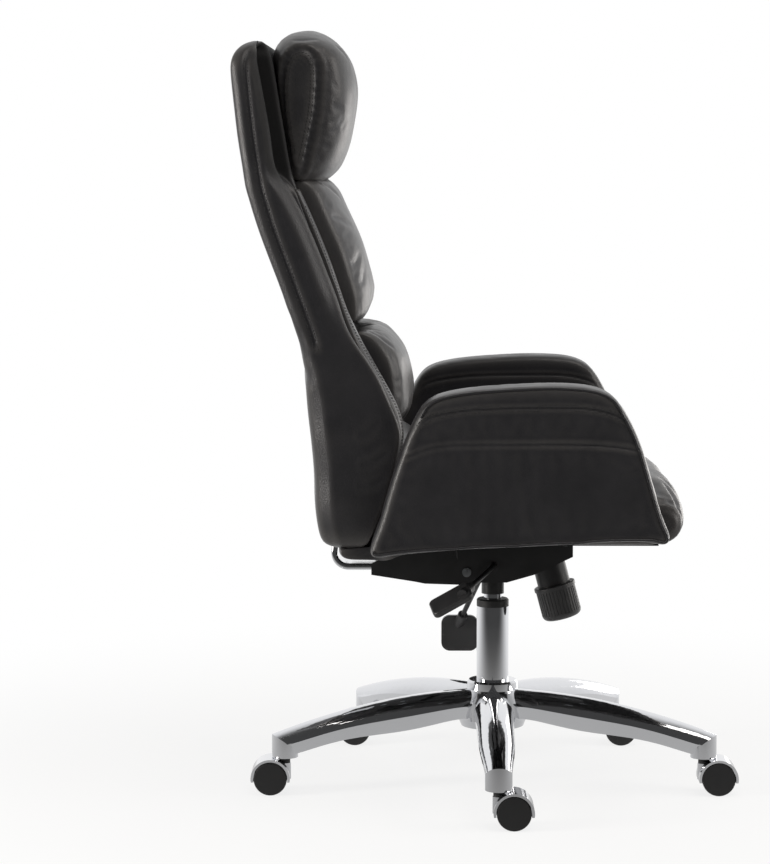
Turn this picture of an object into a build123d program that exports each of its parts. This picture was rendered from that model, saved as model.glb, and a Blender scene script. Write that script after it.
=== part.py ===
# High-back office chair whose seat, arms and back recline together on a tilt mechanism.
# It faces -Y, its right side is -X, the column stands on the Z axis and the floor is Z 0.
# Sizes are in millimetres.
import os
from math import cos, radians, sin

from build123d import *

os.makedirs("parts", exist_ok=True)

# Fits
running_clearance = 0.05
free_clearance = 0.5

# Base star
leg_count = 5
stem_reach = 337.5
hub_top = 158.0
hub_bottom = 86.0
hub_radius = 54.0
collar_radius = 39.5
collar_height = 17.0
leg_root = 30.0
leg_shares = (0.0, 0.26, 0.6, 0.88, 1.0)
leg_widths = (46.0, 60.0, 56.0, 46.0, 40.0)
leg_crease = 0.47
leg_undercut = 0.76
leg_overrun = 1.08
leg_root_drop = 13.0
leg_root_rise = 11.0
leg_wall = 4.0
socket_radius = 20.0
socket_bottom = 56.0
socket_height = 38.0

# Casters: name, azimuth of the leg, and the side along Y to which the wheels trail
casters = (
    ("right", 180.0, -1),
    ("rear_right", 108.0, 1),
    ("rear_left", 36.0, 1),
    ("front_left", -36.0, -1),
    ("front_right", -108.0, -1),
)
caster_trail = 22.0
wheel_radius = 25.5
wheel_width = 16.0
wheel_edge = 2.5
hood_gap = 0.8
hood_wall = 3.7
hood_drop = 5.0
web_half = 9.0
boss_radius = 9.0
boss_height = 25.0
stem_radius = 5.5
stem_depth = 32.0
stem_grip = 18.0
neck_radius = 8.0
neck_height = 9.0
axle_radius = 4.0
axle_reach = 12.0

# Gas lift
column_radius = 25.0
column_taper = 1.0
column_wall = 2.5
column_top = 274.0
column_foot = 6.0
foot_plate = 4.0
bush_length = 84.0
bush_flange = 12.0
rod_radius = 5.0
rod_flange_radius = 12.0
rod_flange = 6.0
rod_end = 3.5
piston_top = 250.0
piston_length = 14.0
pressure_radius = 14.0
pressure_wall = 3.0
gland_length = 12.0
cone_start = 294.0
cone_top = 336.0
cone_loss = 0.8
valve_radius = 3.0
valve_seat = 14.0
valve_stand = 5.0

# Mechanism
housing_half = 52.0
sheet = 3.0
housing_floor = 318.0
housing_front = -122.0
housing_rear = 72.0
housing_top = 380.0
housing_chamfer = 16.0
housing_foot = 14.0
housing_bend_rear = -20.0
housing_bend_front = -62.0
housing_bend_rise = 12.0
housing_front_rise = 40.0
housing_shelf = 20.0
socket_wall = 3.5
pivot_y = 42.0
pivot_z = 335.0
pivot_radius = 7.0
cheek_gap = 1.5
cheek = 4.0

# Tension spring, on an axis that leans with the pull of the seat plate
spring_y = -86.0
spring_z = 345.0
spring_lean = 15.0
cup_radius = 25.5
cup_wall = 3.0
cup_length = 46.0
cup_roof = 3.0
knob_top = 38.0
knob_length = 54.0
knob_rim = 6.0
knob_rim_radius = 32.5
knob_radius = 31.0
knob_floor = 12.0
knob_ribs = 36
rib_radius = 1.3
tension_radius = 5.0
tension_head = 8.0
tension_head_rise = 3.4
nut_radius = 20.0
nut_thickness = 6.0
nut_place = 72.0
wire_radius = 2.2
coil_radius = 17.0
coil_turns = 6

# Levers
lever_radius = 4.0
lever_bend = 18.0
lift_end_place = (-222.0, 49.0, 328.0)
lock_end_place = (190.0, 50.0, 214.0)
lift_grip_size = (66.0, 44.0)
lift_grip_corner = 9.0
lift_grip_lead = 22.0
lock_grip_size = (60.0, 58.0)
lock_grip_corner = 14.0
lock_grip_drop = 15.0
grip_thickness = 10.0
grip_edge = 3.0
sleeve_radius = 8.0
lift_sleeve = 46.0
lift_grip_hold = 34.0
lock_sleeve = 30.0
lock_grip_hold = 26.0

# Seat
plate_top = 388.0
plate_half = 85.0
plate_front = -135.0
plate_rear = 120.0
plate_sheet = 4.0
bolt_radius = 4.0
bolt_head = 13.0
bolt_head_height = 5.5
bolt_reach = 10.0
bolt_edge = 15.0
slot_front = -94.0
slot_rear = -67.0
board_thickness = 12.0
seat_half = 258.0
board_inset = 18.0
seat_board_half = seat_half - board_inset
seat_board_front = -240.0
seat_board_rear = 150.0
seat_board_corner = 45.0
seat_front = -288.0
seat_rear = 94.0
seat_crown = 98.0
seat_roll = 34.0
seat_dome = -90.0

# Back support bar
bar_width = 60.0
bar_thickness = 10.0
bar_bottom = 334.0
bar_front = 112.0
bar_bend = 22.0
bar_top = 560.0
bar_bolt_first = 14.0
bar_bolt_second = 54.0
bar_seat = 77.0

# Arms
arm_gap = 4.0
bracket_sheet = 4.0
bracket_half = 60.0
bracket_height = 62.0
bracket_reach = 140.0
bracket_bolt_inset = 68.0
bracket_bolt_half = 40.0
stud_drop = 16.0
stud_length = 25.0
arm_thickness = 72.0
roll_overhang = 6.0
# Arm outlines as (Y, Z): the panel's rear edge, the crown under the roll, and the front and bottom edges
arm_middle = (-30.0, 506.0)
arm_half_size = (222.0, 110.0)
arm_rear_edge = ((193.0, 398.0), (150.0, 520.0), (120.0, 587.0))
arm_crown = (-36.0, 614.0)
arm_front_edge = ((-188.0, 587.0), (-252.0, 425.0), (-240.0, 413.0), (-60.0, 409.0))
roll_gap = 2.1
roll_middle = (-34.0, 624.0)
roll_half_size = (154.0, 30.0)
roll_front = ((-181.0, 620.0), (-168.0, 640.0), (-140.0, 649.0))
roll_top = (-50.0, 653.0)
roll_rear = ((50.0, 646.0), (98.0, 632.0))

# Back: the line of the board's front face as (Y, Z), from the seat up
board_line = ((225.0, 400.0), (205.0, 560.0), (226.0, 722.0), (305.0, 935.0), (337.0, 1114.0))
back_board_half = 195.0
back_board_bottom = 420.0
back_board_top = 1100.0
back_low = 380.0
back_high = 1170.0
back_ahead = 60.0
back_behind = 420.0
# Rear shell from the seat up: height, inset of its side from the seat's side, and Y of its rear face
shell_stations = (
    (394.0, 22.0, 252.0),
    (412.0, 12.0, 262.0),
    (480.0, 5.0, 268.0),
    (560.0, 1.0, 275.0),
    (640.0, 0.0, 281.0),
    (720.0, 2.0, 296.0),
    (800.0, 6.0, 326.0),
    (880.0, 11.0, 355.0),
    (960.0, 15.0, 374.0),
    (1040.0, 19.0, 386.0),
    (1105.0, 23.0, 392.0),
    (1138.0, 36.0, 383.0),
    (1148.0, 58.0, 366.0),
)
shell_corner = 26.0
shell_rear_crown = 5.0
shell_lead = 12.0
# Bolsters from the seat up: height, Y of the crest, and inset of the outer side from the seat's side
bolster_stations = (
    (404.0, 182.0, 18.0),
    (440.0, 166.0, 10.0),
    (500.0, 147.0, 5.0),
    (580.0, 138.0, 2.0),
    (630.0, 158.0, 1.0),
    (680.0, 186.0, 2.0),
    (740.0, 217.0, 4.0),
    (800.0, 239.0, 7.0),
    (860.0, 261.0, 11.0),
    (905.0, 279.0, 14.0),
    (930.0, 289.0, 18.0),
)
bolster_round = 12.0
bolster_gap = 2.0
# Back cushions: low and high edge, then height and depth ahead of the board at three places of the front
cushion_half = 170.0
cushion_side = 22.0
middle_edges = (728.0, 930.0)
middle_front = ((742.0, 43.5), (805.0, 61.0), (906.0, 54.0))
lumbar_edges = (566.0, 716.0)
lumbar_front = ((590.0, 87.0), (640.0, 88.5), (702.0, 63.5))
lower_edges = (424.0, 556.0)
lower_front = ((440.0, 112.0), (490.0, 113.5), (544.0, 91.0))
# Pillow: inset from its end, Y of the front, top and bottom
pillow_half = 182.0
pillow_end = (268.0, 1136.0, 950.0)
pillow_shoulder = (230.0, 1156.0, 940.0)
pillow_shoulder_inset = 34.0
pillow_centre = (211.0, 1163.0, 936.0)


def save(part, label):
    part.label = label
    export_step(part, f"parts/{label}.step")


def front_face(height):
    # Y of the board's front face at a height, along the bent line of the board
    for (low_y, low_z), (high_y, high_z) in zip(board_line, board_line[1:]):
        if height <= high_z or high_z == board_line[-1][1]:
            return low_y + (high_y - low_y) * (height - low_z) / (high_z - low_z)


def along_line(low, high, offset):
    # The board line between two heights, shifted along Y, with its bends
    bends = [(y + offset, z) for y, z in board_line if low < z < high]
    return [(front_face(low) + offset, low)] + bends + [(front_face(high) + offset, high)]


# BASE STAR
leg_end_top = socket_bottom + socket_height + leg_wall
leg_end_low = socket_bottom + leg_wall


def leg_slice(angle, share, width, inset=0.0):
    outward = Vector(cos(radians(angle)), sin(radians(angle)), 0)
    sideways = Vector(-sin(radians(angle)), cos(radians(angle)), 0)
    reach = leg_root + share * (stem_reach - leg_root)
    root_top = hub_top - leg_root_drop
    root_low = hub_bottom + leg_root_rise
    top = root_top + (leg_end_top - root_top) * share**2 - inset
    low = root_low + (leg_end_low - root_low) * min(share, 1.0) ** 2
    half = width / 2 - inset
    crease = low + leg_crease * (top - low)
    if inset:
        low -= inset
    with BuildSketch(Plane(outward * reach, x_dir=sideways, z_dir=outward)) as section:
        with BuildLine():
            Polyline(
                (-half, crease),
                (-leg_undercut * half, low),
                (leg_undercut * half, low),
                (half, crease),
            )
            ThreePointArc((half, crease), (0, top), (-half, crease))
        make_face()
    return section.sketch


leg_angles = [180.0 - 360.0 / leg_count * step for step in range(leg_count)]
with BuildPart() as base_star:
    with BuildSketch(Plane.XZ):
        with BuildLine():
            Polyline(
                (0, hub_bottom),
                (hub_radius - 5, hub_bottom),
                (hub_radius, hub_bottom + 12),
                (hub_radius - 1, hub_top - 32),
                (collar_radius + 2, hub_top - collar_height),
                (collar_radius, hub_top - collar_height + 3),
                (collar_radius, hub_top - 3),
                (collar_radius - 3, hub_top),
                (0, hub_top),
                close=True,
            )
        make_face()
    revolve(axis=Axis.Z)
    for angle in leg_angles:
        slices = [leg_slice(angle, share, width) for share, width in zip(leg_shares, leg_widths)]
        loft(sections=slices + [leg_slice(angle, leg_overrun, 2 * socket_radius)])
    for angle in leg_angles:
        hollow = [
            leg_slice(angle, 0.12, 52.0, leg_wall),
            leg_slice(angle, 0.3, 59.0, leg_wall),
            leg_slice(angle, 0.6, 56.0, leg_wall),
            leg_slice(angle, 0.88, 46.0, leg_wall),
        ]
        loft(sections=hollow, mode=Mode.SUBTRACT)
    # The leg runs on over its socket and ends in the same round
    with BuildSketch(Plane.XY.offset(socket_bottom)):
        with PolarLocations(stem_reach, leg_count, start_angle=leg_angles[0]):
            Rectangle(3 * socket_radius, 4 * socket_radius, align=(Align.MIN, Align.CENTER))
            Circle(socket_radius, mode=Mode.SUBTRACT)
    extrude(amount=socket_height + 2 * leg_wall, mode=Mode.SUBTRACT)
    with BuildSketch(Plane.XY.offset(socket_bottom)):
        with PolarLocations(stem_reach, leg_count, start_angle=leg_angles[0]):
            Circle(socket_radius)
    extrude(amount=leg_wall + leg_crease * socket_height)
    with BuildSketch(Plane.XY.offset(socket_bottom)):
        with PolarLocations(stem_reach, leg_count, start_angle=leg_angles[0]):
            Circle(stem_radius + running_clearance)
    extrude(amount=stem_depth, mode=Mode.SUBTRACT)
    with Locations((0, 0, hub_bottom)):
        Cone(
            column_radius - column_taper,
            column_radius,
            hub_top - hub_bottom,
            align=(Align.CENTER, Align.CENTER, Align.MIN),
            mode=Mode.SUBTRACT,
        )
save(base_star.part, "base_star")

# CASTERS
hood_bore = wheel_radius + hood_gap
hood_radius = hood_bore + hood_wall
hood_half = web_half + free_clearance + wheel_width
neck_bottom = socket_bottom - running_clearance - neck_height
for name, angle, side in casters:
    stem_x = stem_reach * cos(radians(angle))
    stem_y = stem_reach * sin(radians(angle))
    wheel_centre = Vector(stem_x, stem_y + side * caster_trail, wheel_radius)
    wheel_plane = Plane(wheel_centre, x_dir=(0, 1, 0), z_dir=(1, 0, 0))

    with BuildPart() as caster_hood:
        with BuildSketch(wheel_plane):
            Circle(hood_radius)
            with Locations((0, -hood_drop - hood_radius)):
                Rectangle(2 * hood_radius + 2, 2 * hood_radius, mode=Mode.SUBTRACT)
        extrude(amount=hood_half, both=True)
        for face_side in (-1, 1):
            with BuildSketch(wheel_plane.offset(face_side * web_half)):
                Circle(hood_bore)
            extrude(amount=face_side * (hood_half + 1), mode=Mode.SUBTRACT)
        with BuildSketch(Plane((stem_x, stem_y, neck_bottom - boss_height))):
            Circle(boss_radius)
        extrude(amount=boss_height)
        with BuildSketch(Plane((stem_x, stem_y, neck_bottom - stem_grip))):
            Circle(stem_radius)
        extrude(amount=stem_grip, mode=Mode.SUBTRACT)
        with BuildSketch(Plane((stem_x, stem_y, neck_bottom))):
            Circle(neck_radius)
        extrude(amount=neck_height, mode=Mode.SUBTRACT)
        with BuildSketch(wheel_plane):
            Circle(axle_radius)
        extrude(amount=hood_half, both=True, mode=Mode.SUBTRACT)
    save(caster_hood.part, f"caster_{name}_hood")

    with BuildPart() as caster_stem:
        with BuildSketch(Plane((stem_x, stem_y, neck_bottom - stem_grip))):
            Circle(stem_radius)
        extrude(amount=stem_grip + neck_height + stem_depth - 2)
        with BuildSketch(Plane((stem_x, stem_y, neck_bottom))):
            Circle(neck_radius)
        extrude(amount=neck_height)
    save(caster_stem.part, f"caster_{name}_stem")

    with BuildPart() as caster_axle:
        with BuildSketch(wheel_plane):
            Circle(axle_radius)
        extrude(amount=web_half + axle_reach, both=True)
    save(caster_axle.part, f"caster_{name}_axle")

    for number, face_side in ((1, -1), (2, 1)):
        inner_face = wheel_centre + Vector(face_side * (web_half + free_clearance), 0, 0)
        face_plane = Plane(inner_face, x_dir=(0, 1, 0), z_dir=(face_side, 0, 0))
        with BuildPart() as caster_wheel:
            with BuildSketch(face_plane):
                Circle(wheel_radius)
            extrude(amount=wheel_width)
            fillet(caster_wheel.edges(), wheel_edge)
            with BuildSketch(face_plane):
                Circle(axle_radius + running_clearance)
            extrude(amount=axle_reach, mode=Mode.SUBTRACT)
        save(caster_wheel.part, f"caster_{name}_wheel_{number}")

# GAS LIFT
tube_bottom = hub_bottom - column_foot
column_bore = column_radius - column_wall
foot_top = tube_bottom + foot_plate
with BuildPart() as gas_lift_outer_tube:
    with BuildSketch(Plane.XZ):
        with BuildLine():
            Polyline(
                (rod_radius + running_clearance, tube_bottom),
                (column_radius - column_taper, tube_bottom),
                (column_radius - column_taper, hub_bottom),
                (column_radius, hub_top),
                (column_radius, column_top),
                (column_bore, column_top),
                (column_bore, foot_top),
                (rod_radius + running_clearance, foot_top),
                close=True,
            )
        make_face()
    revolve(axis=Axis.Z)
save(gas_lift_outer_tube.part, "gas_lift_outer_tube")

bush_bore = pressure_radius + running_clearance
with BuildPart() as gas_lift_guide_bush:
    with BuildSketch(Plane.XZ):
        with BuildLine():
            Polyline(
                (bush_bore, column_top - bush_length),
                (column_bore, column_top - bush_length),
                (column_bore, column_top),
                (column_radius, column_top),
                (column_radius, column_top + bush_flange - 2),
                (column_radius - 2, column_top + bush_flange),
                (bush_bore, column_top + bush_flange),
                close=True,
            )
        make_face()
    revolve(axis=Axis.Z)
save(gas_lift_guide_bush.part, "gas_lift_guide_bush")

flange_top = foot_top + rod_flange
pressure_bore = pressure_radius - pressure_wall
with BuildPart() as gas_lift_piston_rod:
    with BuildSketch(Plane.XZ):
        with BuildLine():
            Polyline(
                (0, tube_bottom - rod_end),
                (rod_radius + 3, tube_bottom - rod_end),
                (rod_radius + 3, tube_bottom - running_clearance),
                (rod_radius, tube_bottom - running_clearance),
                (rod_radius, foot_top),
                (rod_flange_radius, foot_top),
                (rod_flange_radius, flange_top),
                (rod_radius, flange_top),
                (rod_radius, piston_top - piston_length),
                (pressure_bore - running_clearance, piston_top - piston_length),
                (pressure_bore - running_clearance, piston_top),
                (0, piston_top),
                close=True,
            )
        make_face()
    revolve(axis=Axis.Z)
save(gas_lift_piston_rod.part, "gas_lift_piston_rod")

with BuildPart() as gas_lift_pressure_tube:
    with BuildSketch(Plane.XZ):
        with BuildLine():
            Polyline(
                (rod_radius + running_clearance, flange_top),
                (pressure_radius, flange_top),
                (pressure_radius, cone_start),
                (pressure_radius - cone_loss, cone_top),
                (valve_radius + running_clearance, cone_top),
                (valve_radius + running_clearance, cone_top - valve_seat),
                (pressure_bore, cone_top - valve_seat),
                (pressure_bore, flange_top + gland_length),
                (rod_radius + running_clearance, flange_top + gland_length),
                close=True,
            )
        make_face()
    revolve(axis=Axis.Z)
save(gas_lift_pressure_tube.part, "gas_lift_pressure_tube")

lever_axis_z = cone_top + valve_stand + lever_radius
with BuildPart() as gas_valve_pin:
    with BuildSketch(Plane.XY.offset(cone_top - valve_seat - 6)):
        Circle(valve_radius)
    extrude(amount=valve_seat + 6 + valve_stand)
save(gas_valve_pin.part, "gas_valve_pin")

# MECHANISM
spring_origin = Vector(0, spring_y, spring_z)
spring_down = Vector(0, -sin(radians(spring_lean)), -cos(radians(spring_lean)))


def spring_plane(distance):
    # Square to the spring's axis, at a distance down from the housing's floor
    return Plane(spring_origin + spring_down * distance, x_dir=(1, 0, 0), z_dir=spring_down)


plate_low = plate_top - plate_sheet
socket_outer = pressure_radius + socket_wall
with BuildPart() as mechanism_housing:
    with BuildSketch(Plane.YZ):
        with BuildLine():
            Polyline(
                (housing_rear, housing_top - housing_chamfer),
                (housing_rear, housing_floor + housing_chamfer),
                (housing_rear - housing_foot, housing_floor),
                (housing_bend_rear, housing_floor),
                (housing_bend_front, housing_floor + housing_bend_rise),
                (housing_front, housing_floor + housing_front_rise),
                (housing_front, plate_low),
                (housing_front + 4 * sheet, plate_low),
                (housing_front + 4 * sheet, housing_top),
                (housing_shelf, housing_top),
                close=True,
            )
        make_face()
    extrude(amount=housing_half, both=True)
    with BuildSketch(Plane.YZ):
        with BuildLine():
            Polyline(
                (housing_rear - sheet, plate_top),
                (housing_rear - sheet, housing_floor + housing_chamfer + 0.5 * sheet),
                (housing_rear - housing_foot - 0.5 * sheet, housing_floor + sheet),
                (housing_bend_rear, housing_floor + sheet),
                (housing_bend_front, housing_floor + housing_bend_rise + sheet),
                (housing_front + sheet, housing_floor + housing_front_rise + 0.6 * sheet),
                (housing_front + sheet, plate_top),
                close=True,
            )
        make_face()
    extrude(amount=housing_half - sheet, both=True, mode=Mode.SUBTRACT)
    with BuildSketch(Plane.XY.offset(cone_start)):
        Circle(socket_outer)
    extrude(amount=cone_top - cone_start)
    with Locations((0, 0, cone_start)):
        Cone(
            pressure_radius,
            pressure_radius - cone_loss,
            cone_top - cone_start,
            align=(Align.CENTER, Align.CENTER, Align.MIN),
            mode=Mode.SUBTRACT,
        )
    with BuildSketch(spring_plane(-2 * cup_roof)):
        Circle(cup_radius)
    extrude(amount=cup_length + 2 * cup_roof)
    with BuildSketch(spring_plane(cup_roof)):
        Circle(cup_radius - cup_wall)
    extrude(amount=cup_length, mode=Mode.SUBTRACT)
    with BuildSketch(spring_plane(-4 * cup_roof)):
        Circle(tension_radius + running_clearance)
    extrude(amount=6 * cup_roof, mode=Mode.SUBTRACT)
    with BuildSketch(Plane.YZ):
        with Locations((pivot_y, pivot_z)):
            Circle(pivot_radius)
        with Locations((0, lever_axis_z)):
            Circle(lever_radius + free_clearance)
    extrude(amount=housing_half + 1, both=True, mode=Mode.SUBTRACT)
save(mechanism_housing.part, "mechanism_housing")

cheek_inner = housing_half + cheek_gap
cheek_outer = cheek_inner + cheek
with BuildPart() as tilt_pivot_shaft:
    with BuildSketch(Plane.YZ):
        with Locations((pivot_y, pivot_z)):
            Circle(pivot_radius)
    extrude(amount=cheek_outer + 4, both=True)
save(tilt_pivot_shaft.part, "tilt_pivot_shaft")

# TENSION SPRING AND KNOB
nut_top = nut_place
coil_height = nut_top - cup_roof - 2 * wire_radius - 1
coil_pitch = coil_height / coil_turns
with BuildPart() as tension_spring:
    with BuildLine() as coil:
        Helix(
            pitch=coil_pitch,
            height=coil_height,
            radius=coil_radius,
            center=spring_origin + spring_down * (cup_roof + wire_radius + free_clearance),
            direction=spring_down,
        )
    with BuildSketch(Plane(coil.line @ 0, z_dir=coil.line % 0)):
        Circle(wire_radius)
    sweep()
save(tension_spring.part, "tension_spring")
coil_points = [coil.line @ (step / 240) for step in range(241)]
turn_steps = 240 // coil_turns
coil_gap = min((a - b).length for a, b in zip(coil_points, coil_points[turn_steps:])) - 2 * wire_radius
print(f"tension spring: least gap between turns {coil_gap:.2f} mm")

# Distance up the axis from the housing's floor to the top face of the seat plate
plate_cross = (plate_top - spring_z) / cos(radians(spring_lean))
with BuildPart() as tension_rod:
    with BuildSketch(spring_plane(-plate_cross - tension_head_rise)):
        Circle(tension_radius)
    extrude(amount=plate_cross + tension_head_rise + knob_top + knob_length - 4)
    with BuildSketch(spring_plane(-plate_cross - tension_head_rise - 4)):
        Circle(tension_head)
    extrude(amount=4)
save(tension_rod.part, "tension_rod")

with BuildPart() as tension_nut:
    with BuildSketch(spring_plane(nut_place)):
        Circle(nut_radius)
        Circle(tension_radius + running_clearance, mode=Mode.SUBTRACT)
    extrude(amount=nut_thickness)
save(tension_nut.part, "tension_nut")

with BuildPart() as tension_knob:
    with BuildSketch(spring_plane(knob_top)):
        Circle(knob_rim_radius)
    extrude(amount=knob_rim)
    with BuildSketch(spring_plane(knob_top)):
        Circle(knob_radius)
    extrude(amount=knob_length)
    fillet(tension_knob.faces().sort_by(Axis.Z)[0].edges(), 9.0)
    fillet(tension_knob.faces().sort_by(Axis.Z)[-1].edges(), 1.5)
    with BuildSketch(spring_plane(knob_top)):
        Circle(cup_radius + running_clearance)
    extrude(amount=cup_length - knob_top + running_clearance, mode=Mode.SUBTRACT)
    with BuildSketch(spring_plane(knob_top)):
        Circle(cup_radius - cup_wall)
    extrude(amount=knob_length - knob_floor, mode=Mode.SUBTRACT)
    with BuildSketch(spring_plane(knob_top)):
        Circle(tension_radius + running_clearance)
    extrude(amount=knob_length, mode=Mode.SUBTRACT)
    with BuildSketch(spring_plane(knob_top + knob_rim + 1)):
        with PolarLocations(knob_radius + 0.3, knob_ribs):
            Circle(rib_radius)
    extrude(amount=knob_length - knob_rim - 10, mode=Mode.SUBTRACT)
save(tension_knob.part, "tension_knob")

# LEVERS
lift_end = Vector(*lift_end_place)
lift_start = Vector(-housing_half - 6, 0, lever_axis_z)
with BuildPart() as lift_lever_rod:
    with BuildLine() as lift_path:
        FilletPolyline((6, 0, lever_axis_z), lift_start, lift_end, radius=lever_bend)
    with BuildSketch(Plane(lift_path.line @ 0, z_dir=lift_path.line % 0)):
        Circle(lever_radius)
    sweep()
save(lift_lever_rod.part, "lift_lever_rod")

lift_way = (lift_end - lift_start).normalized()
grip_along = Vector(0, 0.872, -0.49)
grip_out = Vector(-0.926, -0.185, -0.329)
grip_middle = lift_end + grip_along * lift_grip_lead
grip_plane = Plane(grip_middle, x_dir=grip_along, z_dir=grip_along.cross(grip_out))
with BuildPart() as lift_lever_grip:
    with BuildSketch(grip_plane.offset(-grip_thickness / 2)):
        RectangleRounded(*lift_grip_size, lift_grip_corner)
    extrude(amount=grip_thickness)
    fillet(lift_lever_grip.edges().group_by(Edge.length)[-1], grip_edge)
    with BuildSketch(Plane(lift_end - lift_way * lift_grip_hold, z_dir=lift_way)):
        Circle(sleeve_radius)
    extrude(amount=lift_sleeve)
    with BuildSketch(Plane(lift_end - lift_way * (lift_grip_hold + 6), z_dir=lift_way)):
        Circle(lever_radius)
    extrude(amount=lift_grip_hold + 6, mode=Mode.SUBTRACT)
save(lift_lever_grip.part, "lift_lever_grip")

lock_end = Vector(*lock_end_place)
lock_start = Vector(housing_half + 10, 0, lever_axis_z)
with BuildPart() as lock_lever_rod:
    with BuildLine() as lock_path:
        FilletPolyline((socket_outer + 8, 0, lever_axis_z), lock_start, lock_end, radius=lever_bend)
    with BuildSketch(Plane(lock_path.line @ 0, z_dir=lock_path.line % 0)):
        Circle(lever_radius)
    sweep()
save(lock_lever_rod.part, "lock_lever_rod")

lock_way = (lock_end - lock_start).normalized()
with BuildPart() as lock_lever_grip:
    grip_corner = lock_end + Vector(-grip_thickness / 2, -2, -lock_grip_drop)
    with BuildSketch(Plane(grip_corner, x_dir=(0, 1, 0), z_dir=(1, 0, 0))):
        RectangleRounded(*lock_grip_size, lock_grip_corner)
    extrude(amount=grip_thickness)
    with BuildSketch(Plane(lock_end - lock_way * lock_grip_hold, z_dir=lock_way)):
        Circle(sleeve_radius)
    extrude(amount=lock_sleeve)
    with BuildSketch(Plane(lock_end - lock_way * (lock_grip_hold + 4), z_dir=lock_way)):
        Circle(lever_radius)
    extrude(amount=lock_grip_hold + 4, mode=Mode.SUBTRACT)
save(lock_lever_grip.part, "lock_lever_grip")

# SEAT PLATE, BOARD AND BOLTS
seat_bolt_x = plate_half - bolt_edge
seat_bolts = [
    (x, y)
    for x in (-seat_bolt_x, seat_bolt_x)
    for y in (plate_front + bolt_edge + 10, plate_rear - bolt_edge - 5)
]
bracket_bolt_x = seat_half - bracket_bolt_inset
bracket_bolts = [
    (x, y)
    for x in (-bracket_bolt_x, bracket_bolt_x)
    for y in (-bracket_bolt_half, bracket_bolt_half)
]
bar_bolts = [(0, bar_front + bar_bolt_first), (0, bar_front + bar_bolt_second)]
beam_rear = bar_front + bar_seat
with BuildPart() as seat_plate:
    with BuildSketch(Plane.XY.offset(plate_low)):
        with Locations((0, (plate_front + plate_rear) / 2)):
            RectangleRounded(2 * plate_half, plate_rear - plate_front, 16)
        with Locations(seat_bolts):
            Circle(bolt_radius, mode=Mode.SUBTRACT)
        with Locations((0, (slot_front + slot_rear) / 2)):
            slot_width = 2 * (tension_radius + free_clearance)
            SlotOverall(slot_rear - slot_front, slot_width, rotation=90, mode=Mode.SUBTRACT)
    extrude(amount=plate_sheet)
    for side in (-1, 1):
        with BuildSketch(Plane.YZ.offset(side * cheek_inner)):
            with BuildLine():
                Polyline(
                    (0, plate_low),
                    (pivot_y - 18, pivot_z + 8),
                    (pivot_y - 12, pivot_z - 16),
                    (pivot_y, pivot_z - 20),
                    (pivot_y + 64, pivot_z - 18),
                    (beam_rear, bar_bottom - 1),
                    (beam_rear, bar_bottom + bar_thickness + 4),
                    (plate_rear, plate_low),
                    close=True,
                )
            make_face()
            with Locations((pivot_y, pivot_z)):
                Circle(pivot_radius + running_clearance, mode=Mode.SUBTRACT)
        extrude(amount=side * cheek)
    with BuildSketch(Plane.YZ):
        with BuildLine():
            Polyline(
                (housing_rear + 8, pivot_z - 18),
                (pivot_y + 64, pivot_z - 18),
                (beam_rear, bar_bottom - 4),
                (beam_rear, bar_bottom),
                (bar_front - 2, bar_bottom),
                (bar_front - 2, pivot_z - 14),
                (housing_rear + 8, pivot_z - 14),
                close=True,
            )
        make_face()
    extrude(amount=cheek_inner, both=True)
    with BuildSketch(Plane.XY.offset(bar_bottom)):
        with Locations(bar_bolts):
            Circle(bolt_radius)
    extrude(amount=-30, mode=Mode.SUBTRACT)
    with BuildSketch(Plane.XY.offset(bar_bottom - 8)):
        with Locations(bar_bolts):
            Circle(bolt_head / 2 + 3)
    extrude(amount=-30, mode=Mode.SUBTRACT)
save(seat_plate.part, "seat_plate")

with BuildPart() as seat_board:
    with BuildSketch(Plane.XY.offset(plate_top)):
        with Locations((0, (seat_board_front + seat_board_rear) / 2)):
            RectangleRounded(2 * seat_board_half, seat_board_rear - seat_board_front, seat_board_corner)
        with Locations(seat_bolts + bracket_bolts):
            Circle(bolt_radius, mode=Mode.SUBTRACT)
        with Locations((0, (slot_front + slot_rear) / 2)):
            Rectangle(4 * tension_head, slot_rear - slot_front + 18, mode=Mode.SUBTRACT)
    extrude(amount=board_thickness)
save(seat_board.part, "seat_board")

with BuildPart() as frame_bolts:
    with BuildSketch(Plane.XY.offset(plate_low)):
        with Locations(seat_bolts + bracket_bolts):
            Circle(bolt_radius)
    extrude(amount=plate_sheet + bolt_reach)
    with BuildSketch(Plane.XY.offset(plate_low - bolt_head_height)):
        with Locations(seat_bolts + bracket_bolts):
            RegularPolygon(bolt_head / 2, 6, major_radius=False)
    extrude(amount=bolt_head_height)
    with BuildSketch(Plane.XY.offset(bar_bottom - 8)):
        with Locations(bar_bolts):
            Circle(bolt_radius)
    extrude(amount=8 + bar_thickness - 2)
    with BuildSketch(Plane.XY.offset(bar_bottom - 8 - bolt_head_height)):
        with Locations(bar_bolts):
            RegularPolygon(bolt_head / 2, 6, major_radius=False)
    extrude(amount=bolt_head_height)
save(frame_bolts.part, "frame_bolts")

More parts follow.
